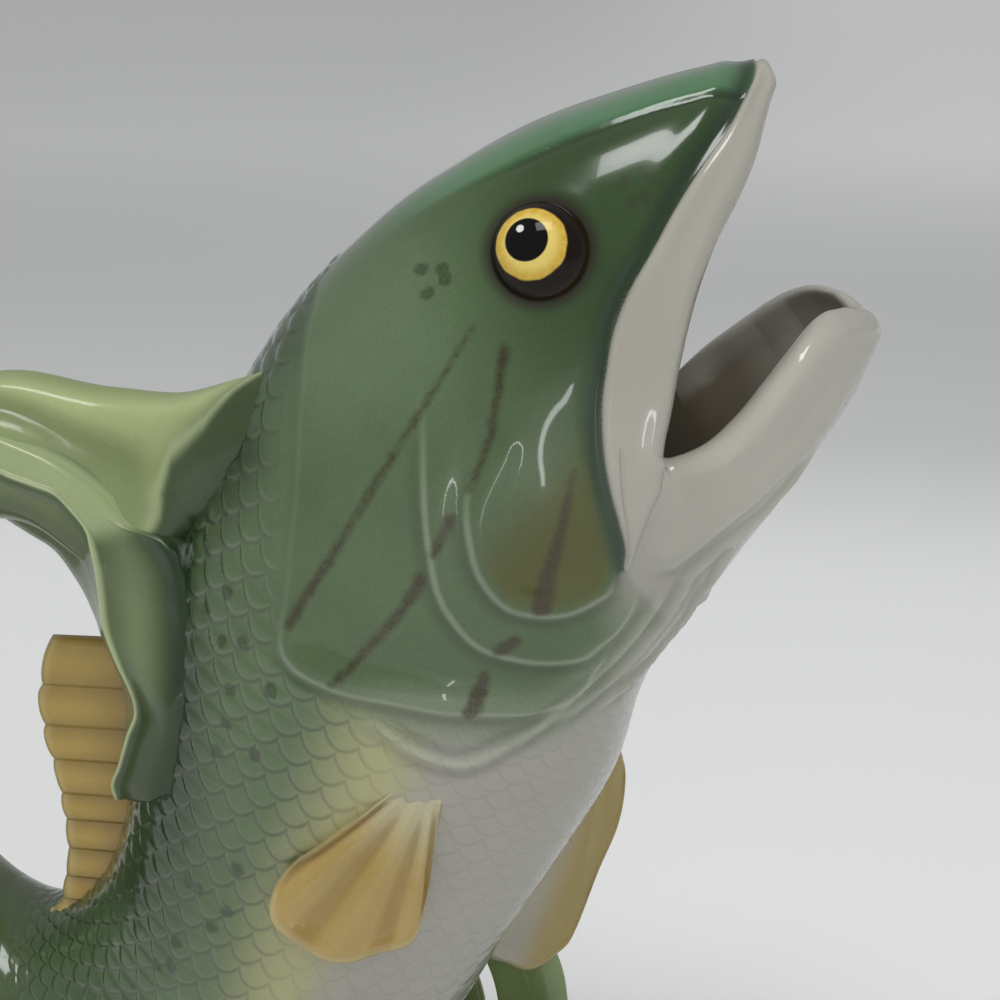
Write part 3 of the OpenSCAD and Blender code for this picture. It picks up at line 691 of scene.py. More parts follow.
def skin_glaze(start):
    tint = start.field("tint", "Color")
    red, green = (start.node("SeparateColor", None, {0: tint}, k) for k in (0, 1))
    colour = speckled(start, tint, (green - red).rise(0, .03) * .13 + .03)
    down, across, amount = start.field("scales", "Vector").parts()
    row = down.math("FLOOR")
    across = (across + (row + 1) * .5).math("FRACT") - .5
    edge = 1 - ((across / LOBE_A) ** 2 + ((down - row + 1) / LOBE_B) ** 2).math("SQRT")
    # Painted shade in the crease where one scale lies over the next.
    scale_crease_shade = (1 - abs(edge + .03).rise(0, .11)) * amount
    pale = (1 - abs(edge - .05).rise(0, .10)) * amount
    colour = (pale * .08).pick(colour, SCALE_PALE)
    colour = shaded(start, colour, 1 - scale_crease_shade * .36)
    for far, strong in zip(start.field("plates", "Vector").parts(), start.field("ridges", "Vector").parts()):
        rim = 1 - abs(far - .7 + (start.noise(90, 2) - .5) * .8).rise(.0, 1.2)
        colour = (rim * strong * .34).pick(colour, RIDGE_PALE)
    grain = start.noise(2400, 2, .6).rise(.35, .65)
    stroke = 1 - (start.field("stroke") + (start.noise(420, 4, .7) - .5) * 2.2).rise(-1.1, .7)
    colour = (stroke * (grain * .25 + .68)).pick(colour, STROKE_BROWN)
    spot = 1 - (start.field("spot") + (start.noise(420, 2) - .5) * 2.6).rise(-.4, .4)
    colour = (spot * (grain * .3 + .55)).pick(colour, SPOT_GREEN)
    height = edge.rise(-.09, .09) * amount * .18 + start.noise(700, 2) * .012
    return colour, uneven(start, .17), height


def white_glaze(start):
    base = start.field("tint", "Color")
    colour = speckled(start, base, .03)
    return colour, uneven(start, .13, .05), start.noise(300, 2) * .02


SKIN, LIP_GLAZE = glaze("painted_body_glaze", skin_glaze), glaze("white_lip_glaze", white_glaze)

# Head, jaw and trunk share their columns, so that the shells meet without a seam.
HALF_N, LIP_N = 150, 93
# Steps along the front of the mouth, the rear of the head and the trunk.
FRONT_N, REAR_N, TRUNK_N = 135, 115, 290
STEP = (BEND - NECK) / TRUNK_N
ring_f = np.arange(-HALF_N, HALF_N) / HALF_N
front_u = np.arange(FRONT_N + 2) * CORNER / FRONT_N
lip_f, rim_f = mouth_edges(front_u)
shape = 1 + .6 * ease((CORNER - front_u) / .6)[:, None]


def rounded_edge(outer, inner, depth):
    """Draws the outer and inner skin together in a half round at a free edge, given the depth in from it."""
    half = norm(outer - inner) / 2 + 1e-6
    k = .5 * (1 - rounded(depth, half))[..., None]
    return outer + (inner - outer) * k, inner + (outer - inner) * k


def shell(u, f, depth):
    """Outer and inner grid of a shell with a rounded free edge."""
    outer, out, data = surface(u, f)
    inner = skin(u, f, WALL)
    outer, inner = rounded_edge(outer, inner, depth)
    # Painted shade: the inside darkens with depth from the rim, and more towards the back of the mouth.
    inside = blend(WHITE, MOUTH_PAINTED_SHADE, ramp(depth, 2, 5))
    inside = blend(inside, MOUTH_BACK_PAINTED_SHADE, ramp(depth, 2, 5) * ramp(u, 1, 2))
    plain = {"tint": inside, "stroke": np.full(u.shape, 9.0), "spot": np.full(u.shape, 9.0),
             "scales": np.zeros(inner.shape)}
    return outer, inner, out, data, plain


def front_depth(u, f):
    """Distance in from the front edge of the mouth."""
    return norm(skin(u, f) - skin(np.zeros_like(u), f))


# Head: the roof of the mouth in front of the corner, full rings behind it.
column = np.arange(-LIP_N, LIP_N + 1) / LIP_N
roof_f = np.sign(column) * (1 - (1 - np.abs(column)) ** shape) * lip_f[:, None]
roof_u = np.broadcast_to(front_u[:, None], roof_f.shape)
depth = np.minimum((lip_f[:, None] - np.abs(roof_f)) * girth(roof_u), front_depth(roof_u, roof_f))
roof = shell(roof_u, roof_f, depth)
rear_u, rear_f = lattice(np.arange(-1, REAR_N + 2) * (NECK - CORNER) / REAR_N + CORNER, ring_f)
rear = shell(rear_u, rear_f, np.full(rear_u.shape, 99.0))
lining = np.arange(1, REAR_N + 2, 5)
end = np.stack([side[REAR_N + 1] for side in rear[:2]])
piece("head_skin", [
    grid_part(roof[0], roof[2], False, roof[3], (0, 1)), grid_part(roof[1], -roof[2], False, roof[4], (0, 1)),
    grid_part(rear[0], rear[2], True, rear[3], (1, 1)),
    grid_part(rear[1][lining], -rear[2][lining], True, {k: v[lining] for k, v in rear[4].items()}),
    grid_part(end, [-.6, 0, -.8], True, cap=True)],
    ["head_shell", "right_gill_cover", "left_gill_cover"], SKIN)

# Lower jaw: a scoop with a thick rolled rim, narrow at its tip.
NEAR_DIP = [1.8, 1.6, 1.1, .25, .05, .8, 2.0, 3.6, 3.9, 2.5, 0]  # millimetres, at even steps to the corner
FAR_DIP = [0, .5, 1, 1.4, 1.8], [2, 2.2, 1.8, 1, 0]  # rows, and millimetres there
BREADTH = [0, .5, 1, 1.5, 2, 2.5, 3.5], [.70, .74, .90, 1.08, 1.14, 1.12, 1.05]  # rows, and shares there
ROLL_OUT, ROLL_IN, TIP_OUT, TIP_IN = 1.0, 2.4, 1.0, 2.6
k = np.arange(HALF_N - LIP_N + 1) / (HALF_N - LIP_N)
turn_in = rounded(front_u, .5)
brim_f = 1 - (1 - rim_f) * turn_in
jaw_f = brim_f[:, None] + (1 - brim_f[:, None]) * k ** shape
jaw_f = np.concatenate([jaw_f, 2 - jaw_f[:, -2::-1]], 1)
jaw_u = np.broadcast_to(front_u[:, None], jaw_f.shape)
brim = skin(front_u, brim_f)
depth = reach(to_right(skin(jaw_u, jaw_f)).reshape(-1, 3), brim, 20)[0].reshape(jaw_u.shape)
outer, out, data = surface(jaw_u, jaw_f)
inner = skin(jaw_u, jaw_f, WALL)
roll = (1 - ease(depth / 11))[..., None] * ease((CORNER - jaw_u) / 1.0)[..., None]
tip = (1 - ease(jaw_u / .8))[..., None] * np.array([1., 0, .25])
outer, inner = outer + TIP_OUT * tip, inner - TIP_IN * tip
inner = inner - out * ROLL_IN * roll * ramp(jaw_u, .1, .8)[..., None]
outer, inner = rounded_edge(outer + out * ROLL_OUT * roll, inner, depth)
near_dip = curve(np.array(NEAR_DIP)[:, None], front_u / CORNER * (len(NEAR_DIP) - 1))[:, 0]
far_dip = np.interp(front_u, *FAR_DIP)
dip = np.where(jaw_f < 1, near_dip[:, None], far_dip[:, None])
dip = dip + (near_dip - far_dip)[:, None] * (.5 - (jaw_f < 1)) * (1 - ease(np.abs(jaw_f - 1) / .15))
dip = (dip * (1 - ease(depth / 20)))[..., None] * [0, 0, 1]
outer, inner = outer - dip, inner - dip
# Painted light at the jaw's tip, painted shade further back and deeper in.
inside = blend(JAW_TIP_PAINTED_LIGHT, JAW_PAINTED_SHADE, ramp(jaw_u, .8, 2.2))
inside = {"tint": blend(WHITE, inside, ramp(depth, 4.5, 5))}
broaden = (1 + (np.interp(front_u, *BREADTH) - 1) * ease((CORNER - front_u) / .7))[:, None, None]
outer, inner = (a * np.concatenate([broaden * 0 + 1, broaden, broaden * 0 + 1], 2) for a in (outer, inner))
piece("jaw_skin", [grid_part(outer, out, False, {"tint": data["tint"]}, (0, 1)),
                   grid_part(inner, -out, False, inside, (0, 1))], ["lower_jaw"], LIP_GLAZE)

# Trunk.
trunk_u, trunk_f = lattice(NECK + STEP * np.arange(-1, TRUNK_N + 2), ring_f)
trunk = surface(trunk_u, trunk_f)
inner_u, inner_f = lattice(np.linspace(NECK, BEND, 30), ring_f)
inner = skin(inner_u, inner_f, WALL)
first, last = np.stack([trunk[0][1], inner[0]]), np.stack([trunk[0][TRUNK_N + 1], inner[-1]])
piece("trunk_skin", [
    grid_part(trunk[0], trunk[1], True, trunk[2], (1, 1)), grid_part(inner, -outward(inner_u, inner_f), True),
    grid_part(first, [.6, 0, .8], True, cap=True),
    grid_part(last, [-1, 0, .2], True, cap=True)], ["body_shell"], SKIN)

# Upper lip: a band round the rim, from its line on the head over the edge to the inside of the mouth.
t = np.linspace(1 - len(LIP_EDGE), len(LIP_EDGE) - 1, 461)
rim_line = np.array(FREE_RIM + LIP_TAIL[1:])
rim_line[:len(FREE_RIM), 1] *= mouth_edges(rim_line[:len(FREE_RIM), 0])[0]
edge_at, rim_at = curve(LIP_EDGE, np.abs(t)), curve(rim_line, np.abs(t))
rim_at[:, 0] = np.maximum(rim_at[:, 0], 0)
over = (1 - np.cos(np.pi * np.linspace(0, 1, 29))) / 2
lip_u = rim_at[:, :1] + (edge_at - rim_at)[:, :1] * over
lip_w = (rim_at[:, 1:] + (edge_at - rim_at)[:, 1:] * over) * np.where(t < 0, -1, 1)[:, None]
broad = norm(skin(edge_at[:, 0], edge_at[:, 1]) - skin(rim_at[:, 0], rim_at[:, 1]))[:, None]
free = (1 - ease((np.abs(t) - 12.8) / .9))[:, None]
from_edge, from_rim = (1 - over) * broad, over * broad
lift = -.7 + 1.7 * rounded(from_edge, 2.0) - .45 * np.sin(np.pi * over) ** 2 * np.clip(broad / 9, 0, 1)
lift -= 1.9 * (1 - rounded(from_rim, 1.8)) * (1 - free)
out = outward(lip_u, lip_w)
outer = skin(lip_u, lip_w) + out * lift[..., None]
inner = skin(lip_u, lip_w, WALL + .4)
outer, inner = rounded_edge(outer, inner, from_rim + 99 * (1 - free))
inner = inner * free[..., None] + (outer - out) * (1 - free[..., None])
lined = 19  # columns from the rim that the inner face has
inner[:, :lined] += (out * (1.2 * ramp(over, .45, .25))[None, :, None])[:, :lined]
plain = {"tint": np.broadcast_to(LIP_WHITE, outer.shape)}
piece("lip_band", [
    grid_part(outer, out, False, plain),
    grid_part(inner[:, :lined], -out[:, :lined], False, {k: v[:, :lined] for k, v in plain.items()})],
    ["upper_lip"], LIP_GLAZE)

# What is luted to the trunk stops inside its wall.
seat_u, seat_f = (a.ravel() for a in lattice(np.linspace(4, 15, 166), np.linspace(-1, 1, 150)))
seat_points, seat_out = skin(seat_u, seat_f), outward(seat_u, seat_f)
tree = mathutils.kdtree.KDTree(len(seat_points))
for index, point in enumerate(seat_points):
    tree.insert(point, index)
tree.balance()
SEAT_REACH = 30  # points further from the trunk than this stay


def seat(points, depth=2.5):
    """Draws points that lie deep inside the trunk back into its wall."""
    made = points.reshape(-1, 3).copy()
    for index, point in enumerate(made):
        _, near, gap = tree.find(point)
        if gap < SEAT_REACH and (point - seat_points[near]) @ seat_out[near] < -depth:
            made[index] = seat_points[near] - seat_out[near] * depth
    return made.reshape(points.shape)


CAP_TURNS = np.radians([90, 70, 50, 30, 14])


def closed_loft(rings, data=None, bulge=.35):
    """Grid of rings, seated in the trunk, with both ends drawn together in a rounded cap."""
    mid = rings.mean(1, keepdims=True)

    def cap(k, way):
        spokes = rings[k] - mid[k]
        size = norm(spokes).min() * bulge
        return np.stack([mid[k] + spokes * np.cos(a) + way * size * np.sin(a) for a in CAP_TURNS])

    def lengthened(v):
        return np.concatenate([np.repeat(v[:1], len(CAP_TURNS), 0), v, np.repeat(v[-1:], len(CAP_TURNS), 0)])

    head, tail = cap(0, unit(mid[0] - mid[1])), cap(-1, unit(mid[-1] - mid[-2]))[::-1]
    points = np.concatenate([head, rings, tail])
    data = {k: lengthened(v) for k, v in (data or {}).items()}
    return grid_part(seat(points), points - lengthened(mid), True, data)


# Tail: the handle, and the upper lobe that carries on from its end.
def lobe(v, f):
    """Point of the upper lobe, v rows from the end of the handle."""
    def lens(v):
        r = curve(LOBE * [FORM_L, FORM_H, FORM_L, FORM_H, LOBE_T], v)
        up = np.stack([(r[..., 2] - r[..., 0]) / 2, LEAN * ease(v / 2), (r[..., 3] - r[..., 1]) / 2], -1)
        mid = np.stack([(r[..., 0] + r[..., 2]) / 2, -SWING - v * LEAN / 10 - 12 * ramp(v, 2.2, 2),
                        (r[..., 1] + r[..., 3]) / 2], -1)
        power = 2 / np.where(np.abs(f) < .5, 2.1 + 1.2 * ease(v / 2), 2.1)
        c, s = np.cos(np.pi * f), np.sin(np.pi * f)
        side = np.stack([0 * v, -r[..., 4] * np.sign(s) * np.abs(s) ** power, 0 * v], -1)
        return mid - up * (np.sign(c) * np.abs(c) ** power)[..., None] + side
    return lens(v) + (skin(LAST + 0 * v, f) - lens(0 * v)) * (1 - ease(v))[..., None]


LOBE_WALL = [2.4, 5.4, -.9]  # way from the upper lobe's front rim back to the skin


def tail_surface(w, f):
    """Handle and upper lobe with the long ridges of the tail fin, and its tones."""
    p = np.where((w > LAST)[..., None], lobe(np.maximum(w - LAST, 0), f), skin(np.minimum(w, LAST), f))
    a, b = np.gradient(p, axis=0), (np.roll(p, -1, 1) - np.roll(p, 1, 1))
    n = unit(np.cross(a, b))
    n = n * np.sign((n * (p - p.mean(1, keepdims=True))).sum())
    g = np.abs(f)
    grow = ramp(w, 16, 3.5)
    ridge = np.interp(w, [16, 20, 21, 22, 23, 24, 25], [.84, .84, .82, .81, .82, .88, .94])
    valley = np.interp(w, [16, 20, 20.9, 21.6, 22.1, 22.6, 25], [.74, .74, .73, .66, .62, .55, .50])
    second = np.interp(w, [16, 20, 20.9, 21.6, 22.1, 22.5, 25], [.66, .65, .63, .58, .54, .44, .40])
    rim = np.interp(w, [21.5, 22, 22.5, 22.75, 22.85, 23, 23.5, 24, 24.5, 25],
                    [-.3, .30, .39, .48, .54, .617, .69, .827, .90, .95])
    size = norm(p - p.mean(1, keepdims=True)) * np.pi
    front = 1 - ease(-f / .3)
    beyond = (rim - np.maximum(f, 0)) * size
    short = drop(w, 22.3, .6)
    h = grow * (.9 * bump((g - ridge) * size, 3.2) * drop(w, 23, 1)
                - 1.5 * short * bump((g - valley) * size, 3.0) + .7 * short * bump((g - second) * size, 3.0))
    edge = ramp(w, 21.7, .6) * front
    h = h + edge * .7 * bump(beyond + .6, 1.6)
    pts = p + n * h[..., None] + (edge * ramp(beyond, 1.5, 8))[..., None] * LOBE_WALL
    # Painted shade darkens the tail's underside.
    tone = blend(TAIL_PAINTED_SHADE, TAIL_LIGHT, ramp(g, .30, .25))
    tone = blend(tone, TAIL_LIGHT, edge)
    tone = blend(tone, RIDGE_OLIVE, .8 * grow * bump((g - ridge) * size, 5))
    tone = blend(tone, VALLEY_OLIVE, .7 * grow * short * bump((g - valley) * size, 3))
    tone = blend(tone, LOBE_GREEN, .55 * edge * ramp(w, 22.6, 1.2) * ramp(beyond, -9, 8))
    tone = blend(tone, LOBE_SHADE, edge * ramp(beyond, -.6, 1.6))
    # Painted shade on the end face past the rim.
    tone = blend(tone, PAINTED_SHADE_GREEN, .9 * edge * ramp(beyond, 3, 6))
    tone = blend(tone, LOBE_RIM, .7 * edge * bump(beyond + .9, 1.0))
    trunk_tone = surface(np.minimum(w, 14.5), f)[2]["tint"]
    tone = blend(trunk_tone, tone, ramp(w, 13, 1.5))
    return pts, n, {"tint": tone}


def tail_glaze(start):
    colour = speckled(start, start.field("tint", "Color"), .07)
    return colour, uneven(start, .24), start.noise(260, 3) * .05


TAIL = glaze("olive_tail_glaze", tail_glaze, .3)
HANDLE_N, LOBE_N, SEAT_FROM = 141, 181, 100
tail_u, tail_f = lattice(np.linspace(BEND, LAST, HANDLE_N), ring_f)
fin_u, fin_f = lattice(np.linspace(LAST, LAST + len(LOBE) - 1, LOBE_N), ring_f)
full_u, full_f = np.concatenate([tail_u, fin_u[1:]]), np.concatenate([tail_f, fin_f[1:]])
pts, n, data = tail_surface(full_u, full_f)
pts[SEAT_FROM:] = seat(pts[SEAT_FROM:])
start = np.stack([pts[0], skin(BEND, ring_f, WALL)])
lining = skin(np.linspace(BEND, LAST, 36)[:, None], ring_f[None], WALL)
stop = np.stack([lining[-1], np.broadcast_to(lining[-1].mean(0), lining[-1].shape)])
handle_rows = slice(HANDLE_N + 1)
piece("handle_skin", [
    grid_part(pts[handle_rows], n[handle_rows], True, {k: v[handle_rows] for k, v in data.items()}, (0, 1)),
    grid_part(lining, lining.mean(1, keepdims=True) - lining, True),
    grid_part(start, [1, 0, 0], True, cap=True),
    grid_part(stop, [-1, 0, -.3], True, cap=True)], ["tail_handle"], TAIL)
tip = pts[-1].mean(0)
turn = np.radians([16, 34, 52, 70, 90])
cap = np.stack([tip + (pts[-1] - tip) * np.cos(a) + [1.4 * np.sin(a), 0, .6 * np.sin(a)] for a in turn])
lobe_rows = slice(HANDLE_N - 2, None)
piece("upper_lobe_skin", [grid_part(
    np.concatenate([pts[lobe_rows], cap]),
    np.concatenate([n[lobe_rows], np.repeat(n[-1:], len(turn), 0)]), True,
    {k: np.concatenate([v[lobe_rows], np.repeat(v[-1:], len(turn), 0)]) for k, v in data.items()}, (1, 0))],
    ["tail_upper_lobe"], TAIL)

# Lower lobe: a folded band that leaves the handle's side and hangs down beside the back.
FOLD_LINES = np.array([  # left edge and fold as x, z, right edge as x, y, z, in millimetres
    [-72, 192, -70, 205, -70, -18, 208], [-61.5, 184, -56.7, 197.2, -56, -18, 203],
    [-55.5, 180, -50, 194.6, -47.8, -18, 199.5], [-51, 177.2, -45, 192.7, -42.5, -18, 196.2],
    [-48.5, 174.5, -41.8, 189.4, -37.5, -18, 192], [-46.3, 171, -38.7, 185.4, -32, -18.5, 186],
    [-44.8, 168.3, -37.6, 181.9, -23.5, -20, 183.5], [-43.5, 165.5, -36.8, 177.8, -18.6, -22.5, 177.5],
    [-42, 161.5, -36.4, 172.2, -16.8, -26, 169], [-40.2, 157, -35.8, 165.1, -16.2, -28.6, 161.5],
    [-37.6, 153, -33.2, 157.5, -16.2, -30, 155.5], [-36, 149.5, -30.4, 151, -16.8, -30.8, 149.5],
    [-35, 144.5, -29.8, 146, -17.6, -31, 144.5], [-35.2, 140, -31.8, 141, -18.6, -31, 139.5],
    [-36.2, 133.5, -34, 134.2, -19.8, -31, 136.6], [-37, 129.2, -35.8, 129.8, -20.6, -31, 134],
    [-36.4, 126.6, -35.4, 126.6, -21.4, -31, 131.6]])
k = np.linspace(0, len(FOLD_LINES) - 1, 161)
row = curve(FOLD_LINES, k)
low = ramp(k, 4, 3)[:, None]
left = np.stack([row[:, 0], -9 - 4 * ramp(k, 4, 3) * ramp(k, 8, 3), row[:, 1]], 1)
fold, right = np.stack([row[:, 2], -20 - 2 * low[:, 0] - 2 * ramp(k, 8, 3), row[:, 3]], 1), row[:, 4:] + 0
hollow = (1.8 * low - 4.2 * ramp(k, 8, 3)[:, None]) * [0, 1, 0]
profile = np.stack([
    left + [1.5, 6, 1], left, left * .5 + fold * .5 - [0, .6, 0], left * .12 + fold * .88, fold - [0, .5, 0],
    fold * .88 + right * .12 + hollow * .1, fold * .62 + right * .38 + hollow * .7,
    fold * .3 + right * .7 + hollow, fold * .06 + right * .94, right + [1.2, 1.5, -.3],
    right + [3.0, 7, -1], left * .5 + right * .5 + [1, 20, 0]], 1)
around = np.linspace(0, profile.shape[1], 96, endpoint=False)
loop = np.concatenate([profile[:, -2:], profile, profile[:, :3]], 1)
rings = np.stack([curve(p, around + 2) for p in loop])
at = np.broadcast_to(around, rings.shape[:2])
deep = np.broadcast_to(k[:, None], at.shape)
# Painted shade on the narrow underside facet and on the back of the fold.
tone = blend(FOLD_UNDERSIDE_PAINTED_SHADE, FOLD_OLIVE, ramp(at, 3.4, .6) * drop(at, 9, 1))
tone = blend(tone, FOLD_GREEN, ramp(deep, 4.6, 1.6) * ramp(at, 4.4, .5))
# Painted highlight in the middle of the fold's face.
tone = blend(tone, FOLD_PAINTED_HIGHLIGHT, .8 * bump(at - 6.2, .9) * bump(deep - 8.5, 3.0))
# Painted shade on the lower lobe's right side, which is turned away from the light.
tone = blend(tone, PAINTED_SHADE_GREEN, .95 * ramp(at, 5.7, 2.2) * ramp(deep, 5, 1.5))
tone = blend(tone, FOLD_SHADE, .8 * ramp(deep, 9.5, 3) * ramp(at, 4.2, .6))
tone = blend(tone, FOLD_PALE,
             .9 * bump(at - 4, .22 + .25 * drop(deep, 4, 3)) * (1 - .5 * ramp(deep, 13, 2)))
piece("lower_lobe_fold", [closed_loft(rings, {"tint": tone})], ["tail_lower_lobe"], TAIL)


# Fins: two faces that meet in a rounded edge.
def fin_glaze(start):
    tone = start.field("tint", "Color")
    rib, edge = start.field("rib"), start.field("edge")
    colour = speckled(start, tone, .10)
    colour = ((1 - rib.rise(.0, .5)) * .42).pick(colour, RIB_BROWN)
    colour = ((1 - edge.rise(.3, 3.0)) * .42).pick(colour, FIN_EDGE)
    return colour, uneven(start, .17), start.noise(320, 3) * .05


FIN = glaze("ochre_fin_glaze", fin_glaze)


def fin(name, near, far, out, data, node):
    """A fin of two faces, with out pointing away from the near one."""
    faces = [grid_part(seat(near), out, False, data), grid_part(seat(far), -out, False, data)]
    piece(name, faces, [node], FIN)


# Dorsal fin: stepped ribs, each overlapping the next one down.
ROOT, ROW_LENGTH = 3, 33  # depth in the trunk, and length of a row along the back, in millimetres
rib_rows = [7.9, 8.20, 8.55, 8.85, 9.13, 9.44, 9.70, 10.05, 10.49, 11.0, 11.5, 12.0]
row = np.linspace(DORSAL[0, 0], DORSAL[-1, 0], 241)[:, None]
across = ((1 - np.cos(np.pi * np.linspace(0, 1, 45))) / 2)[None]
count = np.interp(row, rib_rows, np.arange(len(rib_rows)))
phase = count - np.floor(count)
step = ease(phase / .85) * drop(phase, .90, .10)
tall = np.interp(row, *DORSAL.T) * DORSAL_H
tall = tall * (.955 + .045 * np.sin(np.pi * phase) ** .7)
back = skin(row, 0 * row)
flat = back + np.array([1., 0, 0]) * (ROOT - (tall + ROOT) * across)[..., None]
half = DORSAL_T / 2 * (1 - .30 * across) - .75 + .75 * step * ease(across / .2)
depth = np.minimum((1 - across) * (tall + ROOT), (row - DORSAL[0, 0]) * ROW_LENGTH)
near, far = flat - half[..., None] * [0, 1, 0], flat + half[..., None] * [0, 1, 0]
near, far = rounded_edge(near, far, depth)
data = {"tint": blend(BACK_FIN, OCHRE_DEEP, .7 * (1 - ease(across / .7)) + 0 * row),
        "rib": np.minimum(phase, 1 - phase) + 0 * across, "edge": (1 - across) * tall + 0 * row}
fin("back_fin_ribs", near, far, np.array([0, -1, 0]), data, "dorsal_fin")


def pectoral(root, way, breadth, length, outline, ribs, face, cup, deep, sink):
    """A fan of ribs from a root, in a plate with a thick rounded edge, with its root lowered by sink.

    Gives the near and far face, the way that the near one looks, the fields and the share of the length."""
    a = unit(np.array(way, float))
    n = unit(np.cross(a, breadth))
    b = np.cross(n, a)
    s = np.linspace(0, 1, 181)[:, None]
    out = ((1 - np.cos(np.pi * np.linspace(0, 1, 49))) / 2)[None]
    edge = curve(outline, s[:, 0] * (len(outline) - 1)) * length
    phase = s * ribs
    wave = np.cos(2 * np.pi * phase)
    foot = np.stack([np.full(len(s), -.06 * length),
                     outline[0][1] * length + (outline[-1][1] - outline[0][1]) * length * s[:, 0]], -1)
    flat = foot[:, None] + (edge - foot)[:, None] * (out * (1 + .012 * wave * out))[..., None]
    spread = norm(edge - foot)[:, None]
    depth = np.minimum((1 - out) * spread, np.minimum(s, 1 - s) * length * .9 * (.25 + out))
    thick = FIN_T / 2 * (1 - .25 * out)
    ripple = deep * wave * ease(out / .35) * drop(out, .86, .12) * ease(np.minimum(s, 1 - s) / .06)
    ripple = ripple + .35 * bump(depth - 2.4, 1.4) - .35
    curl = cup * (np.abs(flat[..., 1]) / (.35 * length)) ** 2 + cup * .6 * out ** 3
    along = flat[..., 0] / length
    curl = curl - face * sink * drop(along, -.06, .4)
    mid = np.array(root) + flat[..., :1] * a + flat[..., 1:] * b + curl[..., None] * n
    near = mid + (thick + ripple)[..., None] * n * face
    far = mid - (thick + .3 * ripple)[..., None] * n * face
    near, far = rounded_edge(near, far, np.minimum(depth, out * spread))
    data = {"rib": (wave + 1) / 2 * ease(out / .3) + (1 - ease(out / .3)) + 0 * s, "edge": depth + 0 * s}
    return near, far, n * face, data, along


# Outlines of the pectoral fins, along and across, as shares of their lengths.
RIGHT_OUTLINE = [
    (.032, .072), (.161, .134), (.328, .203), (.496, .271), (.659, .342), (.795, .333), (.893, .258),
    (.937, .137), (.928, -.010), (.875, -.153), (.779, -.262), (.702, -.328), (.624, -.366), (.474, -.331),
    (.311, -.272), (.176, -.212), (.054, -.182), (-.027, -.158)]
LEFT_OUTLINE = [
    (-.04, .13), (.10, .20), (.296, .236), (.528, .228), (.807, .222), (.925, .191), (.985, .120), (.97, .0),
    (.91, -.12), (.78, -.23), (.60, -.29), (.40, -.26), (.20, -.19), (-.04, -.13)]
RIGHT_L, LEFT_L, RIB_COUNT, LEFT_WAY = 42.0, 62.0, 6, [-.29, .10, -.95]
root = skin(7.60, .589)
turn, splay = math.radians(241), math.radians(12)
way = [math.cos(turn) * math.cos(splay), -math.sin(splay), math.sin(turn) * math.cos(splay)]
near, far, n, data, along = pectoral(
    root, way, np.cross(way, [0, -1, 0]), RIGHT_L, RIGHT_OUTLINE, RIB_COUNT, -1, 1.2, .6, 3.0)
data["tint"] = blend(OCHRE, FIN_ROOT, ease((.40 - along) / .4))
fin("right_fin_fan", near, far, n, data, "right_pectoral_fin")
root = skin(7.60, .9025) * [1, -1, 1]
near, far, n, data, along = pectoral(
    root, LEFT_WAY, [.80, .60, 0], LEFT_L, LEFT_OUTLINE, RIB_COUNT, 1, 1.0, .12, 0)
side = unit(np.cross(n, unit(np.array(LEFT_WAY))))
data["tint"] = blend(FAR_FIN, BELLY, .85 * ease((7 - (near - root) @ side) / 11))
data["rib"] = data["rib"] * 0 + 1
fin("left_fin_fan", near, far, n, data, "left_pectoral_fin")


# Eyes: a glossy dome in a socket, with a painted iris that looks a little forwards and up.
def eye_glaze(start):
    across, up = start.field("gaze", "Vector").parts(2)

    def away(x, y):
        """Distance in millimetres from a place on the dome."""
        return ((across - x) ** 2 + (up - y) ** 2).math("SQRT")

    r, hole, painted_catch_light = away(-1.0, .4), away(-1.7, .9), away(-3.0, 2.9)
    angle = up.math("ARCTAN2", across)
    streak = start.noise(1.0, 3, .6, start.node("CombineXYZ", None, {0: angle * 5, 1: r * .5}))
    iris = streak.rise(.3, .8).pick(IRIS, IRIS_DEEP)
    iris = (1 - r.rise(4.2, 6.2)).pick(iris, IRIS_PALE)
    wobble = r + (start.noise(400, 2) - .5) * .5
    colour = wobble.rise(6.5, 6.9).pick(iris, EYE_RING)
    colour = wobble.rise(8.6, 10.2).pick(colour, SOCKET_BROWN)
    colour = (1 - hole.rise(3.95, 4.2)).pick(colour, (.004, .004, .004))
    # Painted highlight: a white catch-light on the pupil.
    colour = (1 - painted_catch_light.rise(.6, .85)).pick(colour, (.85, .85, .83))
    return colour, start.noise(60, 2) * .03 + .05, None


EYE = glaze("painted_eye_glaze", eye_glaze, .05, 1.3)
ball = (EYE_D ** 2 / 4 + EYE_DOME ** 2) / (2 * EYE_DOME)
for side, name in ((1, "right_eye"), (-1, "left_eye")):
    p, z = skin(EYE_ROW, EYE_F), outward(np.array(EYE_ROW), np.array(EYE_F))
    x = unit(np.cross([0, 0, 1], z))
    y = np.cross(z, x)
    r = np.concatenate([np.linspace(0, EYE_D / 2, 40), [EYE_D / 2, EYE_D / 2]])[:, None]
    top = EYE_DOME - ball + np.sqrt(np.maximum(ball ** 2 - r ** 2, 0))
    top[-2:, 0] = -SOCKET * .4, -SOCKET
    a = np.linspace(0, 2 * np.pi, 96, endpoint=False)[None]
    local = np.stack([r * np.cos(a), r * np.sin(a), top + 0 * a], -1)
    dome = (p + local[..., :1] * x + local[..., 1:2] * y + local[..., 2:] * z) * [1, side, 1]
    face = grid_part(dome, dome - (p - 6 * z) * [1, side, 1], True, {"gaze": local * [1, 1, 0]})
    piece(name + "_dome", [face], [name], EYE)


# Foot and weed leaves.
def weed_glaze(start):
    tone = start.field("tint", "Color")
    rib = start.field("rib")
    colour = speckled(start, tone, .12)
    colour = ((1 - rib.rise(.0, .25)) * .45).pick(colour, VEIN_GREEN)
    return colour, uneven(start, .17), start.noise(220, 3) * .08


WEED = glaze("green_weed_glaze", weed_glaze)
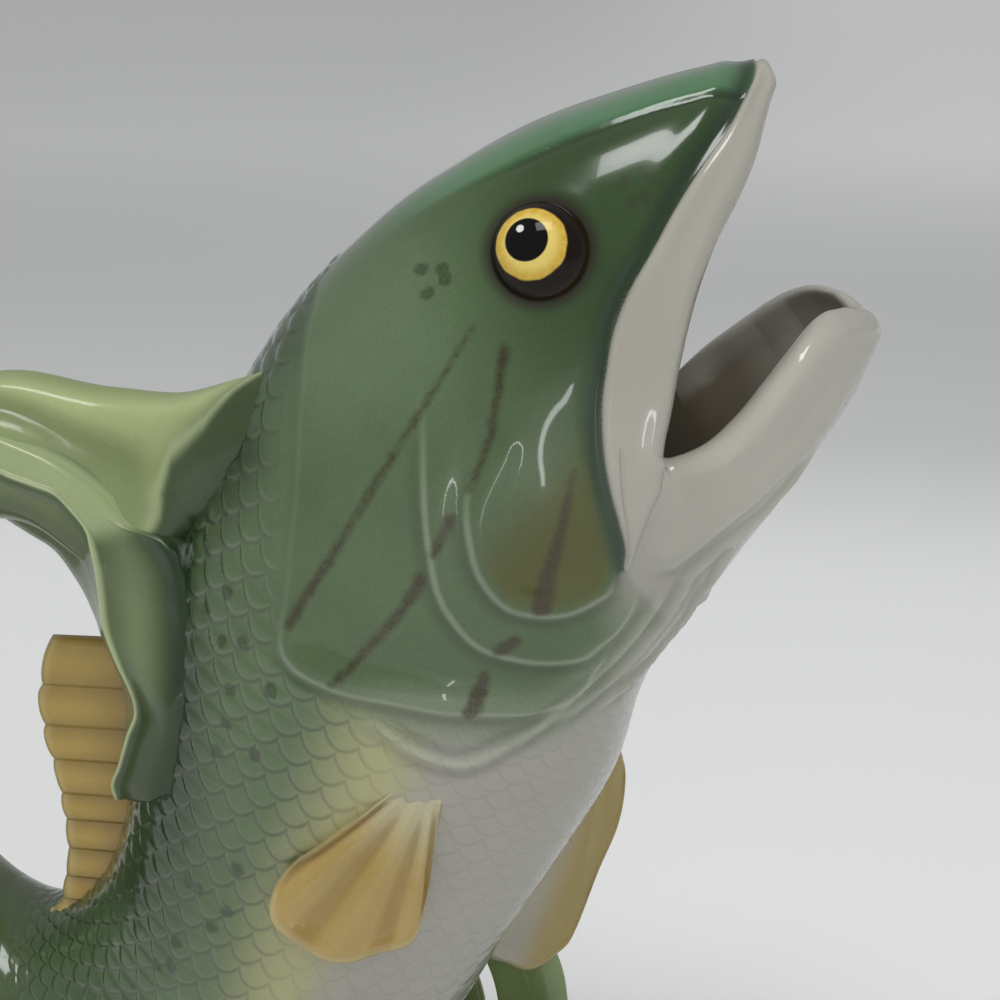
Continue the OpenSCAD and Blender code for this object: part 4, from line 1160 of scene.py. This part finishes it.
# Foot and its hollow from below: middle x, half length, half width and height, as shares.
FOOT = np.array([
    [.040, .97, .97, 0], [.040, 1, 1, .03], [.040, 1, 1, .10], [.042, .95, .95, .20], [.055, .82, .85, .36],
    [.070, .70, .76, .55], [.090, .55, .65, .78], [.108, .40, .53, .97], [.112, .32, .44, 1.0],
    [.112, .18, .25, 1.01], [.112, .001, .001, 1.015]])
HOLLOW = np.array([
    [.040, .90, .86, 0], [.040, .86, .80, .006], [.040, .85, .79, .026], [.100, .60, .62, .028],
    [.135, .28, .42, .030]])
a = np.linspace(0, 2 * np.pi, 192, endpoint=False)[None]


def ovals(table, n, h):
    """Rings of a table of ovals, with heights as shares of h."""
    k = curve(table, np.linspace(0, len(table) - 1, n))[..., None]
    return np.concatenate([
        k[:, 0] * FOOT_L + k[:, 1] * FOOT_L / 2 * np.cos(a), k[:, 2] * FOOT_W / 2 * np.sin(a),
        k[:, 3] * h + 0 * a], -1).reshape(n, 3, -1).transpose(0, 2, 1)


FLUTES, FLUTE_DEPTH, HOLLOW_TOP = 22, .9, 8.4
outside, under = ovals(FOOT, 81, FOOT_H), ovals(HOLLOW, 25, FORM_H)
outside[:, :, 2] = np.maximum(outside[:, :, 2], 0)
under[:, :, 2] = np.clip(under[:, :, 2], 0, HOLLOW_TOP)
mid = outside.mean(1, keepdims=True)
fluted = ramp(outside[..., 2], 4, 8) * drop(outside[..., 2], 30, 14)
flute = FLUTE_DEPTH * np.cos(FLUTES * a + 1.5 * np.sin(3 * a)) * fluted
outside = outside + unit((outside - mid) * [1, 1, 0]) * (flute - .8 * ease(outside[..., 2] / 6))[..., None]
tone = blend(WEED_DEEP, WEED_LIGHT, ramp(outside[..., 2], 3, 26))
rest = {"tint": tone, "rib": .5 + flute / (2 * FLUTE_DEPTH)}
bare = {"tint": np.broadcast_to(BARE_CLAY, under.shape), "rib": np.ones(under.shape[:2])}
ring = np.stack([outside[0], under[0]])
roof = np.stack([under[-1], np.broadcast_to(under[-1].mean(0), under[-1].shape)])
edge = {k: np.stack([v[0]] * 2) for k, v in bare.items()}
piece("foot_mound", [
    grid_part(seat(outside), outside - mid, True, rest),
    grid_part(under, under.mean(1, keepdims=True) - under, True, bare),
    grid_part(ring, [0, 0, -1], True, edge, cap=True), grid_part(roof, [0, 0, -1], True, edge, cap=True)],
    ["foot"], WEED)

SIDE_LEAF = [[.230, -.44, .02], [.120, -.56, .14], [.060, -.52, .29]], -90
REAR_LEAF = [[-.173, -.39, .02], [-.110, -.52, .10], [-.150, -.47, .23]], -100
LEAVES = {  # root as shares of the foot, knee and tip as shares of the form, facing in degrees, side
    "front_leaf": ([[.430, .23, .02], [.215, .40, .17], [.145, .34, .31]], 90, 1),
    "right_front_leaf": ([[.420, -.21, .02], [.215, -.30, .12], [.115, -.30, .24]], -50, 1),
    "right_side_leaf": (*SIDE_LEAF, 1), "right_rear_leaf": (*REAR_LEAF, 1),
    "left_side_leaf": (*SIDE_LEAF, -1), "left_rear_leaf": (*REAR_LEAF, -1)}
for name, (shares, facing, side) in LEAVES.items():
    k = np.array(shares) * [[FOOT_L, FOOT_W, FORM_H], [FORM_L, BODY_W, FORM_H], [FORM_L, BODY_W, FORM_H]]
    t = np.linspace(.02, .985, 90)[:, None]
    line = k[0] * (1 - t) ** 2 + 2 * k[1] * t * (1 - t) + k[2] * t ** 2
    way = unit(np.gradient(line, axis=0))
    flat = np.array([math.cos(math.radians(facing)), math.sin(math.radians(facing)), 0])
    thick = unit(flat - way * (way @ flat)[:, None])
    breadth = np.cross(way, thick)
    wide = LEAF_W * np.sqrt(np.maximum(1 - t ** 4, .01)) * (.75 + .5 * t)
    wave = .06 * np.sin(18 * t[:, 0])[:, None]
    turn = np.linspace(0, 2 * np.pi, 64, endpoint=False)[None]
    c, s = np.cos(turn), np.sin(turn)
    deep = LEAF_T / 2 * (1 - .5 * t)
    groove = -.28 * bump(c * wide, 1.4) * (s > 0) + .10 * np.cos(c * wide * 1.5) * (s > 0)
    rings = (line[:, None] + breadth[:, None] * (c * wide * (1 + wave * np.sign(c)))[..., None]
             + thick[:, None] * (np.sign(s) * np.abs(s) ** .8 * deep * (1 + groove))[..., None])
    tone = blend(WEED_DEEP, WEED_LIGHT, ease(t * .9 + .25 * np.abs(c) - .1))
    vein = np.clip(np.abs(c * wide) / 2.4, 0, 1) * (s > 0) + (s <= 0)
    blade = closed_loft(rings * [1, side, 1], {"tint": tone, "rib": vein})
    piece(name + "_blade", [blade], [name], WEED)

# Stage, light and camera.
floor_mesh = bpy.data.meshes.new("floor")
FLOOR = 9.0  # half its side, in metres
corners = [(x * FLOOR, y * FLOOR, 0) for x, y in ((-1, -1), (1, -1), (1, 1), (-1, 1))]
floor_mesh.from_pydata(corners, [], [(0, 1, 2, 3)])
floor = bpy.data.objects.new("floor", floor_mesh)
scene.collection.objects.link(floor)
material = bpy.data.materials.new("table_top")
material.use_nodes = True
start = Wire(material.node_tree)
material.node_tree.nodes.clear()
seen = start.node("LightPath", None, None, "Is Camera Ray")
mirrored = start.node("LightPath", None, None, "Is Glossy Ray")
place = start.node("TexCoord", None, None, "Object")
across, away = place.parts(2)
round_about = start.node("VectorMath", {"operation": "LENGTH"}, {0: place}, "Value").rise(.6, 2.5)
# Painted light: for camera rays the floor glows, less in a band behind the jug; in reflections it glows more
# away from the jug.
glow = ((1 - away.rise(.42, .75)) * .14 + away.rise(.9, 2.2) * (across.rise(-.5, .6) * .10 + .11)) * seen
glow = glow + round_about * mirrored * .16
shade = start.node("BsdfPrincipled", None, {"Base Color": (.90, .905, .90, 1), "Roughness": .6,
                                            "Emission Color": glow.grey(), "Emission Strength": 1.0})
start.node("OutputMaterial", None, {"Surface": shade})
floor_mesh.materials.append(material)
floor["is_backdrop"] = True

world = bpy.data.worlds.new("room")
scene.world = world
world.use_nodes = True
world.node_tree.nodes.clear()
start = Wire(world.node_tree)
room = start.node("Background", None, {"Color": (.86, .87, .88, 1), "Strength": .36})
wall = start.node("Background", None, {"Color": (.98, .985, 1, 1), "Strength": .46})
seen = start.node("LightPath", None, None, "Is Camera Ray")
start.node("OutputWorld", None, {"Surface": start.node("MixShader", None, {0: seen, 1: room, 2: wall})})


def look(made, place, aim):
    """Puts a lamp or the camera at a place, turned to its aim."""
    made.location = place
    made.rotation_euler = (Vector(aim) - Vector(place)).to_track_quat("-Z", "Y").to_euler()
    scene.collection.objects.link(made)


def lamp(name, place, aim, size, watts, shows):
    light = bpy.data.lights.new(name, "AREA")
    light.shape, light.size, light.size_y, light.energy = "RECTANGLE", size[0], size[1], watts
    made = bpy.data.objects.new(name, light)
    made.visible_camera, made.visible_glossy = False, shows
    look(made, place, aim)


lamp("overhead", (.13, -.44, 1.65), (.05, -.05, .2), (.75, .50), 8, True)
lamp("front", (.5, -1.5, .9), (0, 0, .15), (1.2, 1.0), 6, False)
lamp("left", (-1.3, -.3, 1.0), (0, 0, .15), (.9, .9), 4, False)
lamp("strip", (.24, -1.2, .06), (.05, 0, .2), (.014, .20), .10, True)

lens = bpy.data.cameras.new("camera")
lens.angle = math.radians(30)
camera = bpy.data.objects.new("camera", lens)
look(camera, (.08326, -.37064, .30893), (.04431, 0, .18783))
scene.camera = camera
scene.view_settings.view_transform = "Standard"

low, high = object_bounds()
